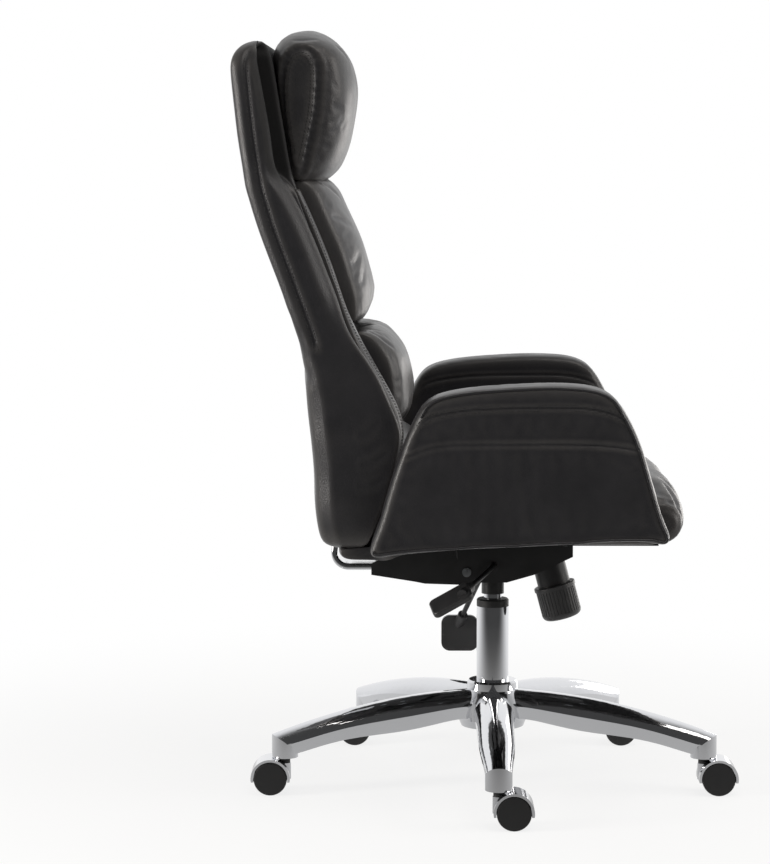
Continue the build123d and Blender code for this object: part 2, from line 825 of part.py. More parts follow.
# BACK SUPPORT BAR
line_lean = (board_line[0][0] - board_line[1][0]) / (board_line[1][1] - board_line[0][1])
bar_offset = board_thickness + bar_thickness / 2 * (1 + line_lean**2) ** 0.5
bar_middle = bar_bottom + bar_thickness / 2
bar_corner = board_line[0][0] + line_lean * (board_line[0][1] - bar_middle) + bar_offset
bar_head = board_line[0][0] - line_lean * (bar_top - board_line[0][1]) + bar_offset
with BuildPart() as back_support_bar:
    with BuildLine(Plane.YZ) as bar_path:
        bar_points = ((bar_front, bar_middle), (bar_corner, bar_middle), (bar_head, bar_top))
        FilletPolyline(*bar_points, radius=bar_bend)
    with BuildSketch(Plane(bar_path.line @ 0, x_dir=(1, 0, 0), z_dir=bar_path.line % 0)):
        RectangleRounded(bar_width, bar_thickness, 0.45 * bar_thickness)
    sweep()
    with BuildSketch(Plane.XY.offset(bar_bottom)):
        with Locations(bar_bolts):
            Circle(bolt_radius)
    extrude(amount=bar_thickness - 2, mode=Mode.SUBTRACT)
save(back_support_bar.part, "back_support_bar")

# SEAT CUSHION
seat_low = plate_top + board_thickness


def seat_slice(x, crown, front, rear):
    foot = (front + seat_roll, seat_low)
    brow = (front + seat_roll + 4, seat_low + 0.88 * crown)
    dome = (seat_dome, seat_low + crown)
    heel = (rear - 20, seat_low + 0.9 * crown)
    with BuildSketch(Plane.YZ.offset(x)) as section:
        with BuildLine():
            Line((rear, seat_low), foot)
            ThreePointArc(foot, (front, seat_low + 0.45 * seat_crown), brow)
            ThreePointArc(brow, dome, heel)
            ThreePointArc(heel, (rear - 2, seat_low + 0.5 * crown), (rear, seat_low))
        make_face()
    return section.sketch


with BuildPart() as seat_cushion:
    loft(
        sections=[
            seat_slice(-seat_half, 0.66 * seat_crown, seat_front + 24, seat_rear - 14),
            seat_slice(0.78 * -seat_half, 0.92 * seat_crown, seat_front + 3, seat_rear - 2),
            seat_slice(0, seat_crown, seat_front, seat_rear),
            seat_slice(0.78 * seat_half, 0.92 * seat_crown, seat_front + 3, seat_rear - 2),
            seat_slice(seat_half, 0.66 * seat_crown, seat_front + 24, seat_rear - 14),
        ]
    )
save(seat_cushion.part, "seat_cushion")

# ARMS
arm_inner = seat_half + arm_gap + bracket_sheet


def drawn_in(point, middle, half_size, inset):
    # A point of an outline moved towards the middle, by the inset at the outline's edge
    return tuple(m + (p - m) * (1 - inset / h) for p, m, h in zip(point, middle, half_size))


def panel_slice(x, inset):
    def at(point):
        return drawn_in(point, arm_middle, arm_half_size, inset)

    rear_edge = [at(point) for point in arm_rear_edge]
    front_edge = [at(point) for point in arm_front_edge]
    with BuildSketch(Plane.YZ.offset(x)) as section:
        with BuildLine():
            Polyline(*rear_edge)
            ThreePointArc(rear_edge[-1], at(arm_crown), front_edge[0])
            Polyline(*front_edge, rear_edge[0])
        make_face()
    return section.sketch


def roll_slice(x, inset):
    def at(point):
        return drawn_in(point, roll_middle, roll_half_size, inset)

    rear_foot, crown, front_foot = (
        at((y, z + roll_gap)) for y, z in (arm_rear_edge[-1], arm_crown, arm_front_edge[0])
    )
    front = [at(point) for point in roll_front]
    rear = [at(point) for point in roll_rear]
    with BuildSketch(Plane.YZ.offset(x)) as section:
        with BuildLine():
            ThreePointArc(rear_foot, crown, front_foot)
            Line(front_foot, front[0])
            ThreePointArc(*front)
            ThreePointArc(front[-1], at(roll_top), rear[0])
            ThreePointArc(*rear, rear_foot)
        make_face()
    return section.sketch


stud_height = plate_low + bracket_height - stud_drop
studs = [(y, stud_height) for y in (-bracket_bolt_half, bracket_bolt_half)]
for name, side in (("right", -1), ("left", 1)):
    with BuildPart() as arm_bracket:
        inner = side * (arm_inner - bracket_sheet)
        with BuildSketch(Plane.XY.offset(plate_low)):
            with Locations((side * (arm_inner - bracket_reach / 2), 0)):
                Rectangle(bracket_reach, 2 * bracket_half)
            with Locations([place for place in bracket_bolts if place[0] * side > 0]):
                Circle(bolt_radius, mode=Mode.SUBTRACT)
        extrude(amount=plate_sheet)
        with BuildSketch(Plane.YZ.offset(inner)):
            with Locations((0, plate_low + bracket_height / 2)):
                Rectangle(2 * bracket_half, bracket_height)
        extrude(amount=side * bracket_sheet)
        with BuildSketch(Plane.YZ.offset(inner)):
            with Locations(studs):
                Circle(bolt_radius)
        extrude(amount=side * (bracket_sheet + stud_length))
    save(arm_bracket.part, f"arm_bracket_{name}")

    with BuildPart() as arm_panel:
        loft(
            sections=[
                panel_slice(side * arm_inner, 6.0),
                panel_slice(side * (arm_inner + 0.22 * arm_thickness), 0.5),
                panel_slice(side * (arm_inner + 0.7 * arm_thickness), 0.5),
                panel_slice(side * (arm_inner + arm_thickness), 11.0),
            ]
        )
        with BuildSketch(Plane.YZ.offset(side * arm_inner)):
            with Locations(studs):
                Circle(bolt_radius)
        extrude(amount=side * stud_length, mode=Mode.SUBTRACT)
    save(arm_panel.part, f"arm_panel_{name}")

    with BuildPart() as arm_top_roll:
        loft(
            sections=[
                roll_slice(side * (arm_inner - roll_overhang), 13.0),
                roll_slice(side * (arm_inner + 0.1 * arm_thickness), 4.0),
                roll_slice(side * (arm_inner + 0.5 * arm_thickness), 0.5),
                roll_slice(side * (arm_inner + 0.9 * arm_thickness), 4.0),
                roll_slice(side * (arm_inner + arm_thickness + roll_overhang), 13.0),
            ]
        )
    save(arm_top_roll.part, f"arm_top_roll_{name}")

# BACK BOARD AND REAR SHELL
board_front_points = along_line(back_board_bottom, back_board_top, 0)
board_rear_points = along_line(back_board_bottom, back_board_top, board_thickness)
with BuildPart() as back_board:
    with BuildSketch(Plane.YZ):
        with BuildLine():
            Polyline(*board_front_points, *reversed(board_rear_points), close=True)
        make_face()
    extrude(amount=back_board_half, both=True)
save(back_board.part, "back_board")


def shell_slice(height, inset, rear):
    half = seat_half - inset
    front = front_face(height) - shell_lead
    edge = rear - shell_rear_crown
    side_end = rear - shell_corner
    turn = (half - 0.3 * shell_corner, rear - 0.4 * shell_corner)
    with BuildSketch(Plane.XY.offset(height)) as section:
        with BuildLine():
            Polyline((-half, side_end), (-half, front), (half, front), (half, side_end))
            ThreePointArc((half, side_end), turn, (half - shell_corner, edge))
            ThreePointArc((half - shell_corner, edge), (0, rear), (shell_corner - half, edge))
            ThreePointArc((shell_corner - half, edge), (-turn[0], turn[1]), (-half, side_end))
        make_face()
    return section.sketch


whole_line = along_line(back_low, back_high, 0)
with BuildPart() as back_rear_shell:
    loft(sections=[shell_slice(*station) for station in shell_stations])
    with BuildSketch(Plane.YZ):
        with BuildLine():
            Polyline(*whole_line, (back_ahead, back_high), (back_ahead, back_low), close=True)
        make_face()
    extrude(amount=1.2 * seat_half, both=True, mode=Mode.SUBTRACT)
    with BuildSketch(Plane.YZ):
        with BuildLine():
            Polyline(*board_front_points, *reversed(board_rear_points), close=True)
        make_face()
    extrude(amount=back_board_half, both=True, mode=Mode.SUBTRACT)
    with BuildSketch(Plane.YZ):
        with BuildLine():
            pocket_front = along_line(back_low, bar_top + 4, board_thickness - 1)
            pocket_rear = along_line(back_low, bar_top + 4, board_thickness + 1.06 * bar_thickness)
            Polyline(*pocket_front, *reversed(pocket_rear), close=True)
        make_face()
    extrude(amount=bar_width / 2 + free_clearance, both=True, mode=Mode.SUBTRACT)
save(back_rear_shell.part, "back_rear_shell")


# BOLSTERS
def bolster_slice(side, height, crest, inset):
    outer = seat_half - inset
    inner = cushion_half + bolster_gap
    middle = (inner + outer) / 2
    rear = front_face(height) + 6
    depth = rear - crest
    edge = crest + min(bolster_round, 0.55 * depth)
    with BuildSketch(Plane.XY.offset(height)) as section:
        with BuildLine():
            Polyline((side * outer, edge), (side * outer, rear), (side * inner, rear), (side * inner, edge))
            ThreePointArc((side * inner, edge), (side * middle, crest), (side * outer, edge))
        make_face()
    return section.sketch


for name, side in (("right", -1), ("left", 1)):
    with BuildPart() as back_bolster:
        loft(sections=[bolster_slice(side, *station) for station in bolster_stations])
        with BuildSketch(Plane.YZ):
            with BuildLine():
                Polyline(*whole_line, (back_behind, back_high), (back_behind, back_low), close=True)
            make_face()
        extrude(amount=1.2 * seat_half, both=True, mode=Mode.SUBTRACT)
    save(back_bolster.part, f"back_bolster_{name}")


# BACK CUSHIONS
def cushion_slice(x, low, high, fullness, front_points):
    # A slice at one X: flat on the board, with its front drawn back towards the board by the fullness
    low_end = (front_face(low), low)
    high_end = (front_face(high), high)
    pulled = [(front_face(z) - depth * fullness, z) for z, depth in front_points]
    front_low, front_middle, front_high = pulled
    low_swell = ((low_end[0] + front_low[0]) / 2, low - 4 * fullness)
    high_swell = ((high_end[0] + front_high[0]) / 2, (high + front_high[1]) / 2 + 6 * fullness)
    with BuildSketch(Plane.YZ.offset(x)) as section:
        with BuildLine():
            Line(high_end, low_end)
            ThreePointArc(low_end, low_swell, front_low)
            ThreePointArc(front_low, front_middle, front_high)
            ThreePointArc(front_high, high_swell, high_end)
        make_face()
    return section.sketch


back_cushions = (
    ("back_cushion_middle", middle_edges, middle_front),
    ("back_cushion_lumbar", lumbar_edges, lumbar_front),
    ("back_cushion_lower", lower_edges, lower_front),
)
cushion_fullness = (
    (-cushion_half, 0.5),
    (cushion_side - cushion_half, 0.82),
    (0, 1.0),
    (cushion_half - cushion_side, 0.82),
    (cushion_half, 0.5),
)
for name, (low, high), front_points in back_cushions:
    with BuildPart() as back_cushion:
        loft(sections=[cushion_slice(x, low, high, full, front_points) for x, full in cushion_fullness])
    save(back_cushion.part, name)


# HEADREST PILLOW
def pillow_slice(x, front, top, low):
    # A slice of the pillow from its flat rear, out to its front face at the given Y
    rear_low = (front_face(low + 12), low + 12)
    rear_high = (front_face(top - 40), top - 40)
    crest = (rear_high[0] - 30, top)
    with BuildSketch(Plane.YZ.offset(x)) as section:
        with BuildLine():
            Line(rear_high, rear_low)
            ThreePointArc(rear_low, (0.5 * (rear_low[0] + front), low + 2), (front + 26, low + 26))
            ThreePointArc((front + 26, low + 26), (front, 0.5 * (low + top) + 6), (front + 12, top - 36))
            ThreePointArc((front + 12, top - 36), (0.55 * front + 0.45 * rear_high[0], top - 4), crest)
            ThreePointArc(crest, (rear_high[0] - 7, top - 14), rear_high)
        make_face()
    return section.sketch


with BuildPart() as headrest_pillow:
    shoulder_x = pillow_half - pillow_shoulder_inset
    loft(
        sections=[
            pillow_slice(-pillow_half, *pillow_end),
            pillow_slice(-shoulder_x, *pillow_shoulder),
            pillow_slice(0, *pillow_centre),
            pillow_slice(shoulder_x, *pillow_shoulder),
            pillow_slice(pillow_half, *pillow_end),
        ]
    )
save(headrest_pillow.part, "headrest_pillow")
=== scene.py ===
from math import cos, pi, radians, sin

import bmesh
import bpy
import numpy as np
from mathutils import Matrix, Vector
from mathutils.bvhtree import BVHTree
from numpy.linalg import norm


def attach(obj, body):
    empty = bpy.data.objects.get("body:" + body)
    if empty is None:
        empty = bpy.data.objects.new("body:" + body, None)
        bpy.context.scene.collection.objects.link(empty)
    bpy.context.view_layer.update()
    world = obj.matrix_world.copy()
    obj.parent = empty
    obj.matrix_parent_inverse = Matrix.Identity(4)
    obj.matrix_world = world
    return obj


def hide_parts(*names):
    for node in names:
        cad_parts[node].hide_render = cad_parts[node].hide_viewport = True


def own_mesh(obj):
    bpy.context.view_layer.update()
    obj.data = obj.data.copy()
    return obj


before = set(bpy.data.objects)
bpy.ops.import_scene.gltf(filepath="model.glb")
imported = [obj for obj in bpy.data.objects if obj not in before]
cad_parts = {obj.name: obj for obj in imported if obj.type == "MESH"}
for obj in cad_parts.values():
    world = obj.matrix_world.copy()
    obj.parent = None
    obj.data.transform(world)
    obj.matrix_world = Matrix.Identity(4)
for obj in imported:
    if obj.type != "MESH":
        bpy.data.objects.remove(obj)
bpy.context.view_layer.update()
scene = bpy.context.scene
scene.view_settings.view_transform = "Standard"
mm = 0.001


# Camera at the photograph's viewing angle, square on the chair's right side
viewpoint = {
    "place": (-4.5678, 0.1333, 1.0004), "yaw": 0.439, "pitch": 5.676,
    "focalPx": 2953.35, "longSidePx": 864,
}
lens = bpy.data.cameras.new("side_camera")
lens.sensor_width = 36.0
lens.lens = viewpoint["focalPx"] / viewpoint["longSidePx"] * lens.sensor_width
camera = bpy.data.objects.new("side_camera", lens)
scene.collection.objects.link(camera)
yaw, pitch = radians(viewpoint["yaw"]), radians(viewpoint["pitch"])
lookWay = Vector((cos(pitch) * cos(yaw), cos(pitch) * sin(yaw), -sin(pitch)))
camera.location = viewpoint["place"]
camera.rotation_euler = lookWay.to_track_quat("-Z", "Y").to_euler()
scene.camera = camera
print("camera set")


def linear(code):
    # sRGB hex to the linear RGBA that the shaders read
    rgb = np.array([int(code[i : i + 2], 16) for i in (1, 3, 5)]) / 255
    return (*np.where(rgb <= 0.04045, rgb / 12.92, ((rgb + 0.055) / 1.055) ** 2.4), 1.0)


def addNode(tree, kind, settings={}, values={}, links={}):
    # One shader node: its settings, fixed inputs and the sockets that feed it; returns its outputs
    node = tree.nodes.new("ShaderNode" + kind)
    for name, value in settings.items():
        setattr(node, name, value)
    for socket, value in values.items():
        node.inputs[socket].default_value = value
    for socket, source in links.items():
        tree.links.new(source, node.inputs[socket])
    return node.outputs


def clearedTree(owner):
    owner.use_nodes = True
    owner.node_tree.nodes.clear()
    return owner.node_tree


def newMaterial(name):
    # A cleared material, its node tree, and the link that lays a pattern on the piece
    material = bpy.data.materials.new(name)
    tree = clearedTree(material)
    return material, tree, {"Vector": addNode(tree, "TexCoord")["Object"]}


white = (1, 1, 1, 1)
softly = {"interpolation_type": "SMOOTHSTEP"}
larger, timesPlus = {"operation": "MAXIMUM"}, {"operation": "MULTIPLY_ADD"}
colours = {"data_type": "RGBA"}
spans = ("From Min", "From Max", "To Min", "To Max")

# Floor and light: a white studio sweep
studio = {
    "floor": "#f4f4f2", "floorReach": 14.0, "floorDrop": 0.0004,
    "floorFade": (0.5, 1.6), "floorWhite": (0.8, 1.0), "floorTurn": (-1.2, 1.0),
    "roomFill": 0.45, "roomTurn": (-0.55, 0.75), "dimSide": (0.06, 1.0), "lampTint": "#fffaf5",
    "lamps": (
        # name, place, aim, width, height, watts
        ("overhead_softbox", (-1.2, -0.9, 2.9), (0.0, 0.0, 0.6), 1.8, 1.4, 20.0),
        ("front_softbox", (-0.4, -3.2, 1.7), (0.0, 0.0, 0.7), 1.6, 2.0, 34.0),
        ("rear_strip", (-1.1, 3.0, 1.2), (-0.2, 0.2, 0.7), 0.7, 2.2, 60.0),
        ("low_front_softbox", (2.4, -1.7, 0.5), (0.0, 0.2, 0.9), 1.6, 1.2, 14.0),
    ),
}
for name, place, aim, wide, high, watts in studio["lamps"]:
    data = bpy.data.lights.new(name, "AREA")
    data.shape = "RECTANGLE"
    data.size, data.size_y = wide, high
    data.energy = watts
    data.color = linear(studio["lampTint"])[:3]
    lamp = bpy.data.objects.new(name, data)
    lamp.location = place
    lamp.rotation_euler = (Vector(aim) - Vector(place)).to_track_quat("-Z", "Y").to_euler()
    lamp.visible_camera = False
    scene.collection.objects.link(lamp)

scene.world = bpy.data.worlds.new("white_studio")
tree = clearedTree(scene.world)
rays = addNode(tree, "LightPath")
across = addNode(tree, "SeparateXYZ", links={"Vector": addNode(tree, "TexCoord")["Generated"]})["X"]
# Mirrored, the room is brightest beyond the chair (+X) and dim behind the camera (-X)
turn = dict(zip(spans, (*studio["roomTurn"], *studio["dimSide"])))
sweep = addNode(tree, "MapRange", softly, turn, {"Value": across})["Result"]
seen = addNode(tree, "Background", {}, {"Color": white, "Strength": 1.0})
reflected = addNode(tree, "Background", {}, {"Color": white}, {"Strength": sweep})
filled = addNode(tree, "Background", {}, {"Color": white, "Strength": studio["roomFill"]})
shiny = addNode(tree, "Math", larger, {}, {0: rays["Is Glossy Ray"], 1: rays["Is Transmission Ray"]})
bounced = addNode(tree, "MixShader", links={0: shiny[0], 1: filled[0], 2: reflected[0]})
shown = addNode(tree, "MixShader", links={0: rays["Is Camera Ray"], 1: bounced[0], 2: seen[0]})
addNode(tree, "OutputWorld", links={"Surface": shown[0]})
print("studio lit")


# Matte white floor with a soft shadow near the chair, fading into the background further out
floorMesh = bpy.data.meshes.new("studio_floor")
reach, drop = studio["floorReach"], -studio["floorDrop"]
corners = ((-reach, -reach, drop), (reach, -reach, drop), (reach, reach, drop), (-reach, reach, drop))
floorMesh.from_pydata(corners, [], [(0, 1, 2, 3)])
floor = bpy.data.objects.new("studio_floor", floorMesh)
scene.collection.objects.link(floor)
paint, tree, spot = newMaterial("white_floor_paint")
rays = addNode(tree, "LightPath")
away = addNode(tree, "VectorMath", {"operation": "LENGTH"}, {}, spot)["Value"]
outward = dict(zip(spans, (*studio["floorFade"], *studio["floorWhite"])))
fade = addNode(tree, "MapRange", softly, outward, {"Value": away})["Result"]
# Mirrored, the floor is white beyond the chair and dim on the camera's side
turn = dict(zip(spans, (*studio["floorTurn"], *studio["dimSide"])))
across = addNode(tree, "SeparateXYZ", links=spot)["X"]
beyond = addNode(tree, "MapRange", softly, turn, {"Value": across})["Result"]
bright = addNode(tree, "Math", larger, {}, {0: rays["Is Camera Ray"], 1: beyond})
looked = addNode(tree, "Math", larger, {}, {0: rays["Is Camera Ray"], 1: rays["Is Glossy Ray"]})
share = addNode(tree, "Math", {"operation": "MULTIPLY"}, {}, {0: looked[0], 1: fade})
matte = addNode(tree, "BsdfDiffuse", {}, {"Color": linear(studio["floor"])})
glow = addNode(tree, "Emission", {}, {"Color": white}, {"Strength": bright[0]})
both = addNode(tree, "MixShader", links={0: share[0], 1: matte[0], 2: glow[0]})
addNode(tree, "OutputMaterial", links={"Surface": both[0]})
floorMesh.materials.append(paint)


# Materials
noiseSpan = (0.3, 0.7)  # most of a noise lies between these


def perMetre(size):
    # Pattern cells in a metre, from the size of one in millimetres
    return 1 / (size * mm)


def surfaced(tree, height, relief, values, links):
    # The principled shader with its inputs, and a bump from the height
    normal = addNode(tree, "Bump", {}, relief, {"Height": height})["Normal"]
    shader = addNode(tree, "BsdfPrincipled", {}, values, {**links, "Normal": normal})
    addNode(tree, "OutputMaterial", links={"Surface": shader[0]})


def bondedLeather(name, grain, pore, mottle, bump, gloss, dark, light, worn, deep):
    # Bonded leather, embossed with a pebble grain, semi-gloss: fine broken highlights on soft black
    material, tree, onPiece = newMaterial(name)
    cells = {"Scale": perMetre(grain), "Smoothness": 0.35, "Randomness": 1.0}
    pebbles = addNode(tree, "TexVoronoi", {"feature": "SMOOTH_F1"}, cells, onPiece)["Distance"]
    pores = addNode(tree, "TexNoise", {}, {"Scale": perMetre(pore), "Detail": 2.0}, onPiece)["Fac"]
    patches = {"Scale": perMetre(mottle), "Detail": 4.0, "Roughness": 0.6, "Distortion": 0.4}
    cloud = addNode(tree, "TexNoise", {}, patches, onPiece)["Fac"]
    # Pores count for a third of the pebbles' height
    height = addNode(tree, "Math", timesPlus, {1: 0.35}, {0: pores, 2: pebbles})[0]
    rough = addNode(tree, "MapRange", {}, dict(zip(spans, (*noiseSpan, *gloss))), {"Value": cloud})["Result"]
    hide = addNode(tree, "Mix", colours, {6: linear(dark), 7: linear(light)}, {0: cloud})[2]
    # Crests rub paler: the wear attribute is 1 on worn ridges
    crest = addNode(tree, "Attribute", {"attribute_name": "wear"})["Fac"]
    rubbed = addNode(tree, "Mix", colours, {7: linear(worn)}, {0: crest, 6: hide})[2]
    # Painted shade in crevices: where the recess attribute is set, the colour is darkened to near black and
    # the hide is also made duller
    paintedShade = addNode(tree, "Attribute", {"attribute_name": "recess_shade"})["Fac"]
    tone = addNode(tree, "Mix", colours, {7: linear(deep)}, {0: paintedShade, 6: rubbed})[2]
    dull = addNode(tree, "Math", timesPlus, {1: 0.4}, {0: paintedShade, 2: rough})[0]
    relief = {"Strength": bump, "Distance": 0.6 * mm}
    surfaced(tree, height, relief, {"IOR": 1.5}, {"Base Color": tone, "Roughness": dull})
    return material


def polishedChrome(name, wave, haze, bump, gloss, colour):
    # Chrome plate over a polished die casting: a mirror with slight waviness and faint handling haze
    material, tree, onPiece = newMaterial(name)
    waves = addNode(tree, "TexNoise", {}, {"Scale": perMetre(wave), "Detail": 1.0}, onPiece)["Fac"]
    film = addNode(tree, "TexNoise", {}, {"Scale": perMetre(haze), "Detail": 5.0}, onPiece)["Fac"]
    rough = addNode(tree, "MapRange", {}, dict(zip(spans, (0.35, 0.75, *gloss))), {"Value": film})["Result"]
    relief = {"Strength": bump, "Distance": 2 * mm}
    surfaced(tree, waves, relief, {"Base Color": linear(colour), "Metallic": 1.0}, {"Roughness": rough})
    return material


def grainedFinish(name, drift, grit, bump, gloss, dark, light, ior=1.5, metallic=0):
    # A painted, moulded or plated surface: a colour that drifts a little, and a fine even texture
    material, tree, onPiece = newMaterial(name)
    cloud = addNode(tree, "TexNoise", {}, {"Scale": perMetre(drift), "Detail": 3.0}, onPiece)["Fac"]
    speckle = addNode(tree, "TexNoise", {}, {"Scale": perMetre(grit), "Detail": 2.0}, onPiece)["Fac"]
    rough = addNode(tree, "MapRange", {}, dict(zip(spans, (*noiseSpan, *gloss))), {"Value": cloud})["Result"]
    tone = addNode(tree, "Mix", colours, {6: linear(dark), 7: linear(light)}, {0: cloud})[2]
    relief, body = {"Strength": bump, "Distance": 0.4 * mm}, {"Metallic": metallic, "IOR": ior}
    surfaced(tree, speckle, relief, body, {"Base Color": tone, "Roughness": rough})
    return material


leather = bondedLeather(
    # Pebble grain is about 1.2 mm; drawn at 2.4 mm so that it shows from a step away
    "black_bonded_leather", grain=2.4, pore=0.9, mottle=45, bump=0.22, gloss=(0.33, 0.43),
    # deep: the near-black colour of the painted shade in crevices
    dark="#202022", light="#2b2a2d", worn="#3c3a39", deep="#0b0b0c",
)
pipingLeather = bondedLeather(
    # The same hide pulled tight round a cord, so the grain is flatter and the gloss higher
    "black_piping_leather", grain=2, pore=0.8, mottle=30, bump=0.12, gloss=(0.28, 0.36),
    # deep: the near-black colour of the painted shade in crevices
    dark="#242426", light="#302f31", worn="#4a4745", deep="#0b0b0c",
)
thread = grainedFinish(
    # Bonded sewing thread: satin twist, drawn as a 0.5 mm flutter
    "charcoal_polyester_thread", drift=6, grit=0.5, bump=0.4, gloss=(0.6, 0.72), ior=1.45,
    dark="#232324", light="#323131",
)
chrome = polishedChrome(
    "polished_chrome", wave=55, haze=18, bump=0.02, gloss=(0.05, 0.10), colour="#dcdde0"
)
blackSteel = grainedFinish(
    # Powder coat on pressed steel: satin with an orange peel of about 1 mm, drawn at 1.6 mm
    "black_powder_coat", drift=25, grit=1.6, bump=0.18, gloss=(0.38, 0.5), ior=1.52,
    dark="#121213", light="#1b1b1c",
)
nylon = grainedFinish(
    # Glass-filled nylon from a spark-eroded mould: matt with a 0.4 mm texture, drawn at 0.9 mm
    "black_moulded_nylon", drift=30, grit=0.9, bump=0.25, gloss=(0.46, 0.6), ior=1.53,
    dark="#141415", light="#1d1d1e",
)
gripPlasticLit = grainedFinish(
    # ABS from a lightly polished mould, its colour lightened as painted light so that the knob and grips
    # look lit: satin, with a 0.5 mm texture drawn at 1 mm
    "black_moulded_abs_painted_lit", drift=24, grit=1, bump=0.15, gloss=(0.34, 0.46), ior=1.53,
    dark="#29292a", light="#363637",
)
zinc = grainedFinish(
    # Passivated zinc on turned steel: a bright grey that clouds in patches of about 8 mm
    "bright_zinc_plate", drift=8, grit=1.2, bump=0.08, gloss=(0.24, 0.4), metallic=1,
    dark="#8d9194", light="#b9bcbe",
)
springWire = grainedFinish(
    # Hard-drawn wire, blued and oiled: dark metal with faint drawing marks
    "oiled_spring_wire", drift=5, grit=0.8, bump=0.1, gloss=(0.28, 0.42), metallic=1,
    dark="#3c3c3e", light="#565658",
)
dustCloth = grainedFinish(
    # Spun-bonded dust cloth stapled under the seat: matt, with a felted 2 mm texture
    "black_nonwoven_cloth", drift=14, grit=2, bump=0.6, gloss=(0.82, 0.92), ior=1.45,
    dark="#101011", light="#1c1c1d",
)
plywood = grainedFinish(
    # Rotary-cut birch, sanded and left bare: pale, with broad soft figure
    "birch_plywood", drift=22, grit=1.5, bump=0.2, gloss=(0.5, 0.65), dark="#a98a62", light="#c9ab80",
)

# The endings of the nodes that have each finish; all others are leather
finishes = (
    (chrome, ("base_star", "outer_tube", "pressure_tube", "support_bar", "hood")),
    (nylon, ("guide_bush", "stem", "wheel_1", "wheel_2")),
    (zinc, ("piston_rod", "valve_pin", "pivot_shaft", "tension_rod", "nut", "bolts", "axle")),
    (blackSteel, ("housing", "lever_rod", "seat_plate", "arm_bracket_right", "arm_bracket_left")),
    (gripPlasticLit, ("knob", "grip")),
    (springWire, ("spring",)),
    (dustCloth, ("seat_board",)),
    (plywood, ("back_board",)),
    (leather, ("",)),
)
for node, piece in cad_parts.items():
    piece.data.materials.clear()
    piece.data.materials.append(next(finish for finish, endings in finishes if node.endswith(endings)))
print("frame finished in", len(bpy.data.materials), "materials")


# Shape helpers
def lengthAlong(line):
    return np.concatenate([[0.0], np.cumsum(norm(np.diff(line, axis=0), axis=1))])


def sampled(values, length, stops):
    # Rows of values that lie along a length, read at the stops
    return np.stack([np.interp(stops, length, axis) for axis in values.T], axis=1)


def spline(points, count, closed=False):
    # Cubic spline on centripetal knots, natural or periodic, resampled evenly by length
    knots = np.array(points, float)
    if closed:
        knots = np.vstack([knots, knots[:1]])
    gap = np.sqrt(norm(np.diff(knots, axis=0), axis=1))[:, None]
    at = np.concatenate([[0.0], np.cumsum(gap)])
    rise = np.diff(knots, axis=0) / gap
    size = len(knots)
    system, right = np.eye(size), np.zeros_like(knots)
    inner = np.arange(1, size - 1)
    system[inner, inner - 1] = gap[:-1, 0]
    system[inner, inner] = 2 * (gap[:-1, 0] + gap[1:, 0])
    system[inner, inner + 1] = gap[1:, 0]
    right[1:-1] = 6 * np.diff(rise, axis=0)
    if closed:
        system[0, 0], system[0, 1], system[0, -2] = 2 * (gap[0, 0] + gap[-1, 0]), gap[0, 0], gap[-1, 0]
        right[0] = 6 * (rise[0] - rise[-1])
        system[-1, 0] = -1
    bend = np.linalg.solve(system, right)
    fine = np.linspace(0, at[-1], 30 * size)
    k = np.clip(np.searchsorted(at, fine, side="right") - 1, 0, size - 2)
    after, before, wide = (fine - at[k])[:, None], (at[k + 1] - fine)[:, None], gap[k]
    line = (bend[k] * before**3 + bend[k + 1] * after**3) / (6 * wide)
    chord = (knots[k] / wide - bend[k] * wide / 6) * before
    line += chord + (knots[k + 1] / wide - bend[k + 1] * wide / 6) * after
    length = lengthAlong(line)
    return sampled(line, length, np.linspace(0, length[-1], count + closed)[:count])


def ease(value, low, high):
    # Smooth step from 0 at low to 1 at high
    share = np.clip((value - low) / (high - low), 0, 1)
    return share * share * (3 - 2 * share)


def gridFaces(rows, columns, wrapped):
    # Quads between neighbouring rows; the columns close on themselves when wrapped
    at = np.arange(rows * columns).reshape(rows, columns)
    if wrapped:
        at = np.hstack([at, at[:, :1]])
    return np.stack([at[:-1, :-1], at[:-1, 1:], at[1:, 1:], at[1:, :-1]], axis=-1).reshape(-1, 4)


def addPiece(name, mesh):
    piece = bpy.data.objects.new(name, mesh)
    scene.collection.objects.link(piece)
    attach(piece, "seat")
    return piece


def meshPiece(name, points, faces, material):
    # A smooth-shaded object from points in millimetres, with its faces turned outwards
    mesh = bpy.data.meshes.new(name)
    mesh.from_pydata((np.asarray(points) * mm).tolist(), [], faces)
    form = bmesh.new()
    form.from_mesh(mesh)
    bmesh.ops.recalc_face_normals(form, faces=form.faces)
    form.to_mesh(mesh)
    form.free()
    mesh.shade_smooth()
    mesh.materials.append(material)
    return addPiece(name, mesh)


def loftPiece(name, rings, material=leather):
    # Closed skin over a stack of rings (rows, columns, xyz), each end closed by one face
    rows, columns = rings.shape[:2]
    faces = gridFaces(rows, columns, True).tolist()
    faces += [list(range(columns)), list(range((rows - 1) * columns, rows * columns))]
    return meshPiece(name, rings.reshape(-1, 3), faces, material)


def coordsOf(mesh, what="co"):
    flat = np.empty(len(mesh.vertices) * 3)
    mesh.vertices.foreach_get(what, flat)
    return flat.reshape(-1, 3)


def setCoords(mesh, coords):
    mesh.vertices.foreach_set("co", coords.ravel())
    mesh.update()


def writeShares(mesh, name, shares):
    # One number from 0 to 1 for each point, for a material to read
    layer = mesh.attributes.new(name, "FLOAT", "POINT")
    layer.data.foreach_set("value", shares.ravel().astype(np.float32))


def bakedMesh(piece):
    # The piece's mesh with its modifiers applied
    depsgraph = bpy.context.evaluated_depsgraph_get()
    return bpy.data.meshes.new_from_object(piece.evaluated_get(depsgraph))


